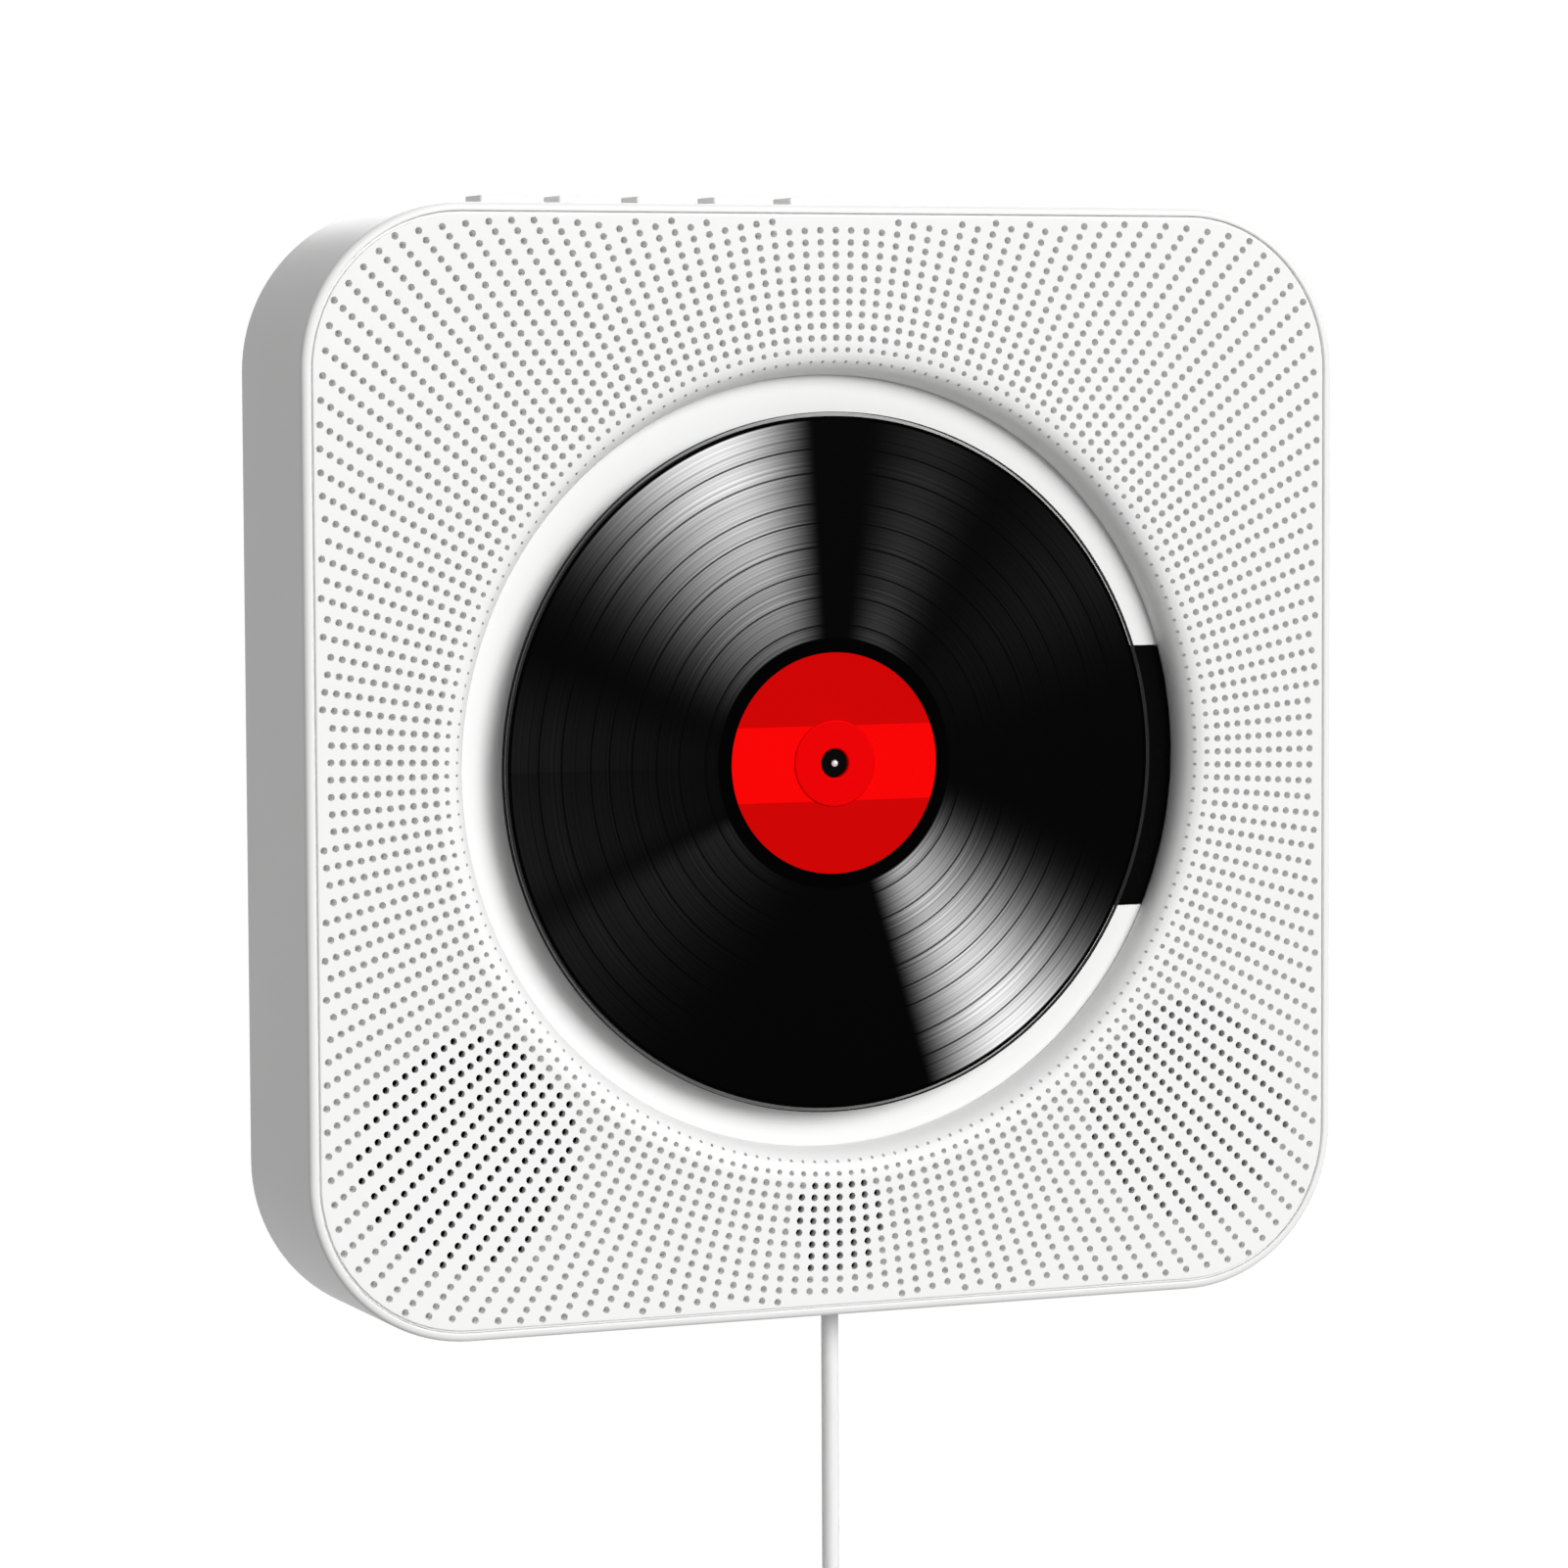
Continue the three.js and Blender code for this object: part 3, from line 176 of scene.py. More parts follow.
class DiscSettings(bpy.types.PropertyGroup):
    """Disc, label and hub"""
    hole: length("Hole", 15, "Diameter of the disc's hole")
    hub_gap: length("Hub gap", 0.03, "Clearance of the hub cap in the disc's hole")
    label: length("Label", 37.95, "Diameter of the red label")
    label_inner: length("Label hole", 14.98, "Inner diameter of the label")
    label_thickness: length("Label thickness", 0.05, "How far the label stands proud")
    band: length("Band", 6.45, "Half height of the label's bright band")
    smooth: length("Smooth ring", 21.5, "Where the grooves start")
    rim: length("Rim", 58.6, "Where the grooves end")
    edge: length("Edge", 0.2, "Rounding of the disc's edge")
    relief: length("Relief", 0.04, "Depth of the smooth ring round the label")
    groove: length("Groove", 0.42, "Pitch of the fine grooves")
    groove_band: length("Groove band", 3.78, "Pitch of the broad changes in the grooves")
    groove_depth: length("Groove depth", 0.004, "Depth of the grooves")
    groove_blur: length("Groove blur", 0.15, "Soft ends of the grooved ring")
    gap: length("Track gap", 0.16, "Half width of the dark lines between tracks")
    clear_edge: length("Clear edge", 0.65, "Width of the unprinted, clear ring at the disc's edge")
    clear_alpha: share("Clear alpha", 0.3, "How solid the clear ring looks")
    steps: count("Steps", 180, "Steps round the disc")


class StageSettings(bpy.types.PropertyGroup):
    """Camera and light"""
    lens: bpy.props.FloatProperty(name="Lens", description="Focal length", default=128.2, unit="CAMERA")
    place: bpy.props.FloatVectorProperty(
        name="Camera place", description="Where the camera stands", default=(-0.3728, -0.9102, 0.0636),
        size=3, subtype="TRANSLATION", unit="LENGTH",
    )
    heading: angle("Heading", 22.516, "How far to the right of straight ahead the camera looks")
    tilt: angle("Tilt", -4.03, "How far up the camera looks")
    roll: angle("Roll", -0.277, "Turn about the line of sight")
    ambient: share("Ambient", 0.28, "Light from all round")
    key: share("Key", 2.57, "Strength of the main light")
    key_spread: angle("Key spread", 35, "Width of the main light")
    back_fill: share("Back fill", 1.1, "Strength of the light on the back")
    back_spread: angle("Back spread", 50, "Width of the light on the back")
    floor_drop: length("Floor drop", 450, "How far the floor lies below the middle of the body")
    floor_reach: length("Floor reach", 6000, "How far the floor reaches")
    floor_glow: share("Floor glow", 1.1, "Brightness of the floor where it is seen directly")
    floor_matt: share("Floor matt", 0.2, "Share of the floor that takes shadows where it is seen directly")


class ColourSettings(bpy.types.PropertyGroup):
    """Colours"""
    shell: tint("Shell", (0.90, 0.90, 0.895), "White plastic of the body")
    panel: tint("Panel", (0.925, 0.925, 0.92), "White plastic of the grille")
    cord: tint("Cord", (0.90, 0.90, 0.89), "White cord")
    black: tint("Black plastic", grey(0.0006), "Black plastic")
    vinyl: tint("Disc", grey(0.0002), "Black of the disc")
    disc_edge: tint("Disc edge", grey(0.08), "Clear edge of the disc")
    label: tint("Label", (0.645, 0.0, 0.0), "Dark red of the label")
    band: tint("Band", (0.99, 0.0, 0.0), "Bright red of the label's band")
    hub: tint("Hub", (0.87, 0.0, 0.001), "Red of the hub cap")
    steel: tint("Steel", (0.62, 0.63, 0.65), "Steel")
    zinc: tint("Zinc", (0.5, 0.51, 0.52), "Zinc plated sheet")
    rubber: tint("Rubber", grey(0.012), "Rubber")
    cloth: tint("Cloth", grey(0.003), "Speaker cloth")
    paper: tint("Paper", grey(0.03), "Paper cone")
    ferrite: tint("Ferrite", (0.05, 0.05, 0.052), "Ferrite magnet")
    board: tint("Board", (0.015, 0.11, 0.04), "Circuit board")
    gear: tint("Gear", (0.80, 0.80, 0.77), "Acetal gears")
    glass: tint("Lens", (0.55, 0.7, 0.85), "Coated lens")
    coating: tint("Coating", (0.25, 0.12, 0.4), "Coating of the lens, seen aslant")
    dust: tint("Dust", grey(0.5), "Dust")
    floor: tint("Floor", grey(0.9), "Studio floor")


class PlayerSettings(bpy.types.PropertyGroup):
    """All settings of the CD player"""
    shell: bpy.props.PointerProperty(type=ShellSettings)
    grille: bpy.props.PointerProperty(type=GrilleSettings)
    disc: bpy.props.PointerProperty(type=DiscSettings)
    stage: bpy.props.PointerProperty(type=StageSettings)
    colours: bpy.props.PointerProperty(type=ColourSettings)


# Modelling helpers

def around(radius, turn):
    return Vector((radius * math.cos(turn), 0, radius * math.sin(turn)))


def arc(across, along, radius, start, end, steps=4):
    """Points of an arc in a profile; the angles are in quarter turns"""
    turns = [(start + (end - start) * step / steps) * QUARTER for step in range(steps + 1)]
    return [(across + radius * math.cos(turn), along + radius * math.sin(turn)) for turn in turns]


def dome(radius, front, height, steps):
    """Points of a dome from its tip to its foot"""
    turns = [step / steps * QUARTER for step in range(steps + 1)]
    return [(radius * math.sin(turn), front + height * (1 - math.cos(turn))) for turn in turns]


def verts_of(items):
    return [item for item in items if isinstance(item, bmesh.types.BMVert)]


def edges_of(items):
    return [item for item in items if isinstance(item, bmesh.types.BMEdge)]


def everything(mesh):
    return mesh.verts[:] + mesh.edges[:] + mesh.faces[:]


def chain(mesh, points, closed=True):
    corners = [mesh.verts.new(point) for point in points]
    ends = corners[1:] + corners[:1] if closed else corners[1:]
    return corners + [mesh.edges.new(pair) for pair in zip(corners, ends)]


def turned(profile, centre=(0, FRONT, 0), axis=INWARD, steps=48):
    """A profile of (radius, distance along the axis) points, turned about an axis through the centre"""
    mesh = bmesh.new()
    across = UPRIGHT if axis is SIDEWAYS else SIDEWAYS
    points = [Vector(centre) + across * radius + axis * along for radius, along in profile]
    outline = chain(mesh, points, closed=profile[0][0] > 0)
    bmesh.ops.spin(mesh, geom=outline, cent=centre, axis=axis, angle=FULL_TURN, steps=steps, use_merge=True)
    return cleaned(mesh)


def rod(axis, low, high, radius, place, steps=48):
    """A round bar along an axis between two places on it"""
    return turned([(0, low), (radius, low), (radius, high), (0, high)], place, axis, steps)


def cleaned(mesh):
    bmesh.ops.remove_doubles(mesh, verts=mesh.verts, dist=MERGE)
    bmesh.ops.recalc_face_normals(mesh, faces=mesh.faces)
    return mesh


def block(low, high, corner=0):
    """A box between two corners; its upright edges can be rounded"""
    corner_steps = 6
    mesh = bmesh.new()
    bmesh.ops.create_cube(mesh, size=1)
    bmesh.ops.scale(mesh, vec=Vector(high) - Vector(low), verts=mesh.verts)
    bmesh.ops.translate(mesh, vec=(Vector(low) + Vector(high)) / 2, verts=mesh.verts)
    if corner > 0:
        bevel(mesh, [edge for edge in mesh.edges if is_upright(edge)], corner, corner_steps)
    return mesh


def is_upright(edge):
    upright_share = 0.999
    run = edge.verts[0].co - edge.verts[1].co
    return abs(run.z) > upright_share * run.length


def bevel(mesh, edges, width, steps=2):
    bmesh.ops.bevel(
        mesh, geom=edges, offset=width, offset_type="OFFSET", affect="EDGES", segments=steps, profile=0.5,
        material=-1, clamp_overlap=True,
    )


def soften(mesh, width, steps=2, keep=None):
    """Rounds every sharp edge, or those of them that keep picks"""
    limit = math.radians(40)
    sharp = [edge for edge in mesh.edges if edge.calc_face_angle(0) > limit]
    bevel(mesh, [edge for edge in sharp if keep is None or keep(edge)], width, steps)
    return mesh


def carve(mesh, tool, operation="DIFFERENCE"):
    """Cuts the tool out of the mesh, or joins it to it"""
    pieces = []
    for shape in (mesh, tool):
        data = bpy.data.meshes.new("carving")
        shape.to_mesh(data)
        shape.free()
        pieces.append(bpy.data.objects.new("carving", data))
        bpy.context.scene.collection.objects.link(pieces[-1])
    modifier = pieces[0].modifiers.new("carve", "BOOLEAN")
    modifier.object = pieces[1]
    modifier.operation = operation
    modifier.solver = "EXACT"
    bpy.context.view_layer.update()
    result = bmesh.new()
    result.from_object(pieces[0], bpy.context.evaluated_depsgraph_get())
    for piece in pieces:
        bpy.data.meshes.remove(piece.data)
    return cleaned(result)


def gather(meshes):
    """One mesh that holds several"""
    whole = bmesh.new()
    for mesh in meshes:
        data = bpy.data.meshes.new("gathering")
        mesh.to_mesh(data)
        mesh.free()
        whole.from_mesh(data)
        bpy.data.meshes.remove(data)
    return whole


def refined(node, edge):
    """A copy of a CAD node with whole flat faces and rounded edges"""
    flat = math.radians(1)
    mesh = bmesh.new()
    mesh.from_mesh(frame["nodes"][node].data)
    bmesh.ops.remove_doubles(mesh, verts=mesh.verts, dist=MERGE)
    bmesh.ops.dissolve_limit(mesh, angle_limit=flat, verts=mesh.verts, edges=mesh.edges)
    return soften(mesh, edge)


def add_piece(name, mesh, node, finish, replace=True):
    """Makes the mesh a piece that rides with a CAD node and stands for it"""
    crease = math.radians(32)
    for face in mesh.faces:
        face.smooth = True
    for edge in mesh.edges:
        edge.smooth = edge.calc_face_angle(0) < crease
    data = bpy.data.meshes.new(name)
    mesh.to_mesh(data)
    mesh.free()
    data.materials.append(finish_of(finish))
    piece = bpy.data.objects.new(name, data)
    bpy.context.scene.collection.objects.link(piece)
    level = piece.modifiers.new("level faces", "WEIGHTED_NORMAL")
    level.keep_sharp = True
    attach(piece, BODY_OF[node])
    if replace:
        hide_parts(node)
    return piece


# Shared shader groups

WHITE = (1, 1, 1, 1)
GRAIN = 0.35 * MM
GRAIN_HEIGHT = 0.006 * MM
DRIFT_SHARE = 0.03
DRIFT_SIZE = 40 * MM
RING_PITCH = 0.3 * MM
DUST_SHARE = 0.2
DUST_SIZE = 0.5 * MM


def plug(tree, node, inputs):
    """Gives each input of a node its value or the socket that feeds it"""
    for label, value in inputs.items():
        if isinstance(value, bpy.types.NodeSocket):
            tree.links.new(value, node.inputs[label])
        else:
            node.inputs[label].default_value = value
    return node.outputs


def add_node(tree, kind, inputs=None, **settings):
    """Adds a shader node and returns its outputs"""
    node = tree.nodes.new("ShaderNode" + kind)
    for name, value in settings.items():
        setattr(node, name, value)
    return plug(tree, node, inputs or {})


def calculate(tree, operation, *values):
    return add_node(tree, "Math", dict(enumerate(values)), operation=operation)[0]


def blend(tree, factor, first, second):
    return add_node(tree, "Mix", {0: factor, 6: first, 7: second}, data_type="RGBA")[2]


def between(tree, value, low, high):
    """A value from 0 to 1, spread out from low to high"""
    return calculate(tree, "MULTIPLY_ADD", value, high - low, low)


def raised(tree, heights, depth):
    """Heights between 0 and 1 as a normal"""
    return add_node(tree, "Bump", {"Height": heights, "Distance": depth})[0]


def ramp(tree, value, start, end, falls=False, kind="LINEAR"):
    """0 to 1 between two values, or 1 to 0"""
    ends = {"To Min": float(falls), "To Max": float(not falls)}
    inputs = {"Value": value, "From Min": start, "From Max": end, **ends}
    return add_node(tree, "MapRange", inputs, interpolation_type=kind)[0]


def object_place(tree):
    return add_node(tree, "TexCoord")["Object"]


def new_group(name, inputs, outputs):
    """A node group with named sockets; inputs are (name, kind, default)"""
    group = bpy.data.node_groups.new(name, "ShaderNodeTree")
    for label, kind, default in inputs:
        socket = group.interface.new_socket(name=label, in_out="INPUT", socket_type="NodeSocket" + kind)
        if default is not None:
            socket.default_value = default
    for label, kind in outputs:
        group.interface.new_socket(name=label, in_out="OUTPUT", socket_type="NodeSocket" + kind)
    return group, group.nodes.new("NodeGroupInput").outputs, group.nodes.new("NodeGroupOutput")


def use_group(tree, name, inputs):
    node = tree.nodes.new("ShaderNodeGroup")
    node.node_tree = bpy.data.node_groups[name]
    return plug(tree, node, inputs)


def per_size(group, given):
    """Object coordinates and the scale that gives a texture its size"""
    return object_place(group), calculate(group, "DIVIDE", 1.0, given["Size"])


def build_grain():
    """Fine texture of a moulding, as a normal"""
    group, given, result = new_group(
        "Moulded grain", [("Size", "Float", GRAIN), ("Height", "Float", GRAIN_HEIGHT)],
        [("Normal", "Vector")],
    )
    place, scale = per_size(group, given)
    noise = add_node(group, "TexNoise", {"Vector": place, "Scale": scale, "Detail": 3.0, "Roughness": 0.6})
    plug(group, result, {"Normal": raised(group, noise[0], given["Height"])})


def build_drift():
    """Slight change of tone over a piece"""
    group, given, result = new_group(
        "Tone drift",
        [("Color", "Color", WHITE), ("Amount", "Float", DRIFT_SHARE), ("Size", "Float", DRIFT_SIZE)],
        [("Color", "Color"), ("Value", "Float")],
    )
    place, scale = per_size(group, given)
    noise = add_node(group, "TexNoise", {"Vector": place, "Scale": scale, "Detail": 2.0})[0]
    value = calculate(group, "SUBTRACT", 1.0, calculate(group, "MULTIPLY", noise, given["Amount"]))
    tinted = add_node(group, "VectorMath", {0: given["Color"], "Scale": value}, operation="SCALE")[0]
    plug(group, result, {"Color": tinted, "Value": noise})


def build_rings():
    """Fine rings round a line that runs inwards through the centre of the given place"""
    group, given, result = new_group(
        "Turned rings", [("Place", "Vector", None), ("Pitch", "Float", RING_PITCH)],
        [("Rings", "Float"), ("Radius", "Float"), ("Turn", "Float")],
    )
    axes = add_node(group, "SeparateXYZ", {0: given["Place"]})
    flat = add_node(group, "CombineXYZ", {"X": axes["X"], "Z": axes["Z"]})[0]
    radius = add_node(group, "VectorMath", {0: flat}, operation="LENGTH")["Value"]
    rings_out = calculate(group, "DIVIDE", radius, given["Pitch"])
    noise = {"W": rings_out, "Scale": 1.0, "Detail": 3.0}
    rings = add_node(group, "TexNoise", noise, noise_dimensions="1D")[0]
    turn = calculate(group, "ARCTAN2", axes["Z"], axes["X"])
    plug(group, result, {"Rings": rings, "Radius": radius, "Turn": turn})


def build_dust():
    """Sparse specks of dust in patches, as a mask"""
    speck_share = 0.18
    patch_share = 0.02
    bare_share = 0.55
    group, given, result = new_group(
        "Fine dust", [("Size", "Float", DUST_SIZE), ("Amount", "Float", DUST_SHARE)], [("Mask", "Float")],
    )
    place, scale = per_size(group, given)
    cells = add_node(group, "TexVoronoi", {"Vector": place, "Scale": scale})
    near = calculate(group, "LESS_THAN", cells["Distance"], speck_share)
    patch_scale = calculate(group, "MULTIPLY", scale, patch_share)
    spread = add_node(group, "TexNoise", {"Vector": place, "Scale": patch_scale})
    patch = calculate(group, "GREATER_THAN", spread[0], bare_share)
    mask = calculate(group, "MULTIPLY", near, patch)
    plug(group, result, {"Mask": calculate(group, "MULTIPLY", mask, given["Amount"])})


# Materials

# The name of each finish's material
FINISHES = {}

# Each moulding's title, colour and roughness, and what departs from plain plastic
PLASTICS = {
    "white_shell": ("Body plastic", "shell", 0.38, {"height": 0.004 * MM, "level": 0.4}),
    "white_panel": ("Panel plastic", "panel", 0.5, {"level": 0.4}),
    "white_cord": ("Cord plastic", "cord", 0.5, {"grain": 0.6 * MM, "height": 0.01 * MM, "scatter": 3 * MM}),
    "black_plastic": ("Black plastic", "black", 0.42, {"height": 0.012 * MM, "dust": 0.01, "level": 0.015}),
    "red_cap": ("Hub plastic", "hub", 0.35, {"height": 0.002 * MM, "level": 0.012}),
    "black_rubber": ("Rubber", "rubber", 0.85, {"grain": 0.5 * MM, "height": 0.03 * MM, "dust": 0.05}),
    "paper_cone": ("Paper cone", "paper", 0.85, {"grain": 0.8 * MM, "height": 0.08 * MM, "drift": 0.2}),
    "ferrite": ("Ferrite", "ferrite", 0.6, {"grain": 0.3 * MM, "height": 0.03 * MM, "drift": 0.2}),
    "white_gear": ("Gear acetal", "gear", 0.3, {"height": 0.002 * MM}),
}

# Each metal's title, colour, roughness and brushing
METALS = {
    "steel": ("Steel", "steel", 0.25, 0.15 * MM),
    "zinc_plate": ("Zinc plate", "zinc", 0.42, 0.6 * MM),
}

# Wedges of painted sheen, a highlight painted into the disc's colour: start, peak and end in degrees, then
# brightness near the label and at the rim
PAINTED_SHEEN_WEDGES = [
    (93.5, 112, 175, 0.117, 0.86),
    (-73, -55, -5, 0.36, 0.93),
    (84, 71, 40, 0.03, 0.012),
    (-158, -150, -90, 0.011, 0.0075),
    (58, 34, -10, 0.0012, 0.0075),
    (-152, -164, -260, 0.0012, 0.0075),
    (158, 176, 260, 0.0012, 0.0075),
]
TRACK_GAP_SHARES = [0.06, 0.19, 0.3, 0.42, 0.53, 0.62, 0.76, 0.87]


def new_material(name, **inputs):
    """A material with its surface shader; names of inputs have _ for spaces"""
    material = bpy.data.materials.new(name)
    material.use_nodes = True
    tree = material.node_tree
    tree.nodes.clear()
    shader = tree.nodes.new("ShaderNodeBsdfPrincipled")
    dress(tree, shader, **inputs)
    add_node(tree, "OutputMaterial", {"Surface": shader.outputs[0]})
    return material, tree, shader


def dress(tree, shader, **inputs):
    plug(tree, shader, {label.replace("_", " "): value for label, value in inputs.items()})


def opaque(colour):
    return (*colour, 1.0)


def plastic(
    title, colour, dust_colour, roughness, grain=GRAIN, height=GRAIN_HEIGHT, drift=DRIFT_SHARE, dust=0.0,
    level=0.5, scatter=0,
):
    """Moulded plastic: a base tone that drifts a little, fine grain and a trace of dust"""
    swing = 0.04
    material, tree, surface = new_material(title, Specular_IOR_Level=level)
    if scatter > 0:
        dress(tree, surface, Subsurface_Weight=1.0, Subsurface_Radius=(1, 1, 1), Subsurface_Scale=scatter)
    tone = use_group(tree, "Tone drift", {"Color": opaque(colour), "Amount": drift, "Size": DRIFT_SIZE})
    fleck = use_group(tree, "Fine dust", {"Size": DUST_SIZE, "Amount": dust})
    dress(
        tree, surface,
        Base_Color=blend(tree, fleck["Mask"], tone["Color"], opaque(dust_colour)),
        Roughness=between(tree, tone["Value"], roughness - swing, roughness + swing),
        Normal=use_group(tree, "Moulded grain", {"Size": grain, "Height": height})["Normal"],
    )
    return material


def metal(title, colour, roughness, brushing):
    """Metal with fine brushing and a tone that drifts"""
    patch = 6 * MM
    height = 0.002 * MM
    stretch_share = 0.04
    swing = 0.1
    material, tree, surface = new_material(title, Metallic=1.0)
    tone = use_group(tree, "Tone drift", {"Color": opaque(colour), "Amount": 0.12, "Size": patch})
    stretched = add_node(tree, "Mapping", {"Vector": object_place(tree), "Scale": (1, 1, stretch_share)})[0]
    lines = add_node(tree, "TexNoise", {"Vector": stretched, "Scale": 1 / brushing, "Detail": 2.0})[0]
    dress(
        tree, surface, Base_Color=tone["Color"], Normal=raised(tree, lines, height),
        Roughness=between(tree, lines, roughness - swing, roughness + swing),
    )
    return material


def ring_mask(tree, radius, inner, outer, blur):
    """1 between two radii, with soft ends"""
    rise = ramp(tree, radius, inner - blur, inner + blur)
    fall = ramp(tree, radius, outer - blur, outer + blur, falls=True)
    return calculate(tree, "MULTIPLY", rise, fall)


def track_gaps(tree, radius, sizes):
    """1 on the lines between the tracks"""
    gaps = 0.0
    for gap_share in TRACK_GAP_SHARES:
        place = sizes.smooth + gap_share * (sizes.rim - sizes.smooth)
        gaps = calculate(tree, "MAXIMUM", gaps, calculate(tree, "COMPARE", radius, place, sizes.gap))
    return gaps


def wedge(tree, turn, reach, start, peak, end, inner, outer):
    """Brightness of one wedge of painted sheen, a highlight painted into the disc's colour, which rises from
    start to peak and fades by end, in degrees
    """
    inner_power = 2.1
    outer_power = 5.5
    top = math.radians(peak)
    rise = ramp(tree, turn, math.radians(start), top, kind="SMOOTHSTEP")
    fade = ramp(tree, turn, top, math.radians(end), falls=True, kind="SMOOTHSTEP")
    faded = calculate(tree, "POWER", fade, between(tree, reach, inner_power, outer_power))
    strength = between(tree, reach, inner, outer)
    return calculate(tree, "MULTIPLY", calculate(tree, "MULTIPLY", rise, faded), strength)


def vinyl(sizes, colours):
    """Black disc with fine grooves, a painted highlight (a sheen painted into its colour in wedges, darker on
    the gaps between its tracks and streaked by the grooves) and a clear rim
    """
    # How much of the painted sheen stays on the gaps between tracks, and how the fine and broad grooves
    # streak the painted sheen
    gap_light_share = 0.15
    line_light = (0.2, 1.8)
    band_light = (0.8, 1.2)
    smooth_roughness = 0.12
    groove_roughness = 0.34
    material, tree, surface = new_material("Grooved disc", Specular_IOR_Level=0.012)
    place = object_place(tree)
    fine = use_group(tree, "Turned rings", {"Place": place, "Pitch": sizes.groove})
    broad = use_group(tree, "Turned rings", {"Place": place, "Pitch": sizes.groove_band})
    radius = fine["Radius"]
    grooved = ring_mask(tree, radius, sizes.smooth, sizes.rim, sizes.groove_blur)
    reach = ramp(tree, radius, sizes.smooth, sizes.rim)
    # Painted sheen: a highlight painted into the disc's colour, one wedge after another
    painted_sheen = 0.0
    for shape in PAINTED_SHEEN_WEDGES:
        painted_sheen = calculate(tree, "ADD", wedge(tree, fine["Turn"], reach, *shape), painted_sheen)
    open_track = between(tree, track_gaps(tree, radius, sizes), 1.0, gap_light_share)
    lines = between(tree, fine["Rings"], *line_light)
    bands = between(tree, broad["Rings"], *band_light)
    for factor in (grooved, open_track, lines, bands):
        painted_sheen = calculate(tree, "MULTIPLY", painted_sheen, factor)
    # The disc's black with the painted sheen, a highlight painted in as colour
    painted_sheen_colour = blend(tree, painted_sheen, opaque(colours.vinyl), WHITE)
    clear_half = sizes.clear_edge / 2
    clear_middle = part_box("disc")[1].x - sizes.edge / 2 - clear_half
    clear = calculate(tree, "COMPARE", radius, clear_middle, clear_half)
    grooves = calculate(tree, "MULTIPLY", fine["Rings"], grooved)
    dress(
        tree, surface, Base_Color=blend(tree, clear, painted_sheen_colour, opaque(colours.disc_edge)),
        Alpha=between(tree, clear, 1.0, sizes.clear_alpha),
        Roughness=between(tree, grooved, smooth_roughness, groove_roughness),
        Normal=raised(tree, grooves, sizes.groove_depth),
    )
    return material


def label_paper(sizes, colours):
    """Red label with a brighter band across its middle"""
    patch = 12 * MM
    grain = 0.25 * MM
    depth = 0.003 * MM
    material, tree, surface = new_material("Label paper", Roughness=0.6, Specular_IOR_Level=0.02)
    height = add_node(tree, "SeparateXYZ", {0: object_place(tree)})["Z"]
    in_band = calculate(tree, "COMPARE", height, 0.0, sizes.band)
    red = blend(tree, in_band, opaque(colours.label), opaque(colours.band))
    tone = use_group(tree, "Tone drift", {"Color": red, "Amount": DRIFT_SHARE, "Size": patch})
    dress(
        tree, surface, Base_Color=tone["Color"],
        Normal=use_group(tree, "Moulded grain", {"Size": grain, "Height": depth})["Normal"],
    )
    return material


def speaker_cloth(colours):
    """Black cloth with a plain weave"""
    thread = 3 * MM
    depth = 0.1 * MM
    patch = 2 * MM
    material, tree, surface = new_material("Speaker cloth", Roughness=0.95, Specular_IOR_Level=0.1)
    threads = {"Vector": object_place(tree), "Scale": 1 / thread}
    across = add_node(tree, "TexWave", threads, bands_direction="X")["Fac"]
    upwards = add_node(tree, "TexWave", threads, bands_direction="Z")["Fac"]
    tone = use_group(tree, "Tone drift", {"Color": opaque(colours.cloth), "Amount": 0.3, "Size": patch})
    weave = calculate(tree, "MULTIPLY", across, upwards)
    dress(tree, surface, Base_Color=tone["Color"], Normal=raised(tree, weave, depth))
    return material


def circuit_board(colours):
    """Green solder mask over copper tracks"""
    tracks_per_metre = 120.0
    patch = 5 * MM
    depth = 0.03 * MM
    copper_share = 2.2
    lowest_roughness = 0.35
    highest_roughness = 0.55
    material, tree, surface = new_material("Circuit board", Coat_Weight=0.3)
    tracks = add_node(tree, "TexBrick", {"Vector": object_place(tree), "Scale": tracks_per_metre})["Fac"]
    copper = opaque([copper_share * part for part in colours.board])
    tone = use_group(tree, "Tone drift", {"Amount": 0.2, "Size": patch})
    dress(
        tree, surface, Base_Color=blend(tree, tracks, opaque(colours.board), copper),
        Roughness=between(tree, tone["Value"], lowest_roughness, highest_roughness),
        Normal=raised(tree, tracks, depth),
    )
    return material


def coated_glass(colours):
    """Clear lens with a bluish coating"""
    material, tree, surface = new_material("Coated glass", Roughness=0.03, Coat_Weight=1.0)
    aslant = add_node(tree, "LayerWeight", {"Blend": 0.3})["Facing"]
    dress(tree, surface, Base_Color=blend(tree, aslant, opaque(colours.glass), opaque(colours.coating)))
    return material


def build_materials(settings):
    """Every finish, by the record's slot or by a name of its own"""
    colours = settings.colours
    made = {
        "black_disc": vinyl(settings.disc, colours),
        "label": label_paper(settings.disc, colours),
        "black_cloth": speaker_cloth(colours),
        "circuit_board": circuit_board(colours),
        "lens_glass": coated_glass(colours),
    }
    for name, (title, colour, roughness, more) in PLASTICS.items():
        made[name] = plastic(title, getattr(colours, colour), colours.dust, roughness, **more)
    for name, (title, colour, roughness, brushing) in METALS.items():
        made[name] = metal(title, getattr(colours, colour), roughness, brushing)
    return made


def finish_of(name):
    """The material of a finish"""
    return bpy.data.materials[FINISHES[name]]


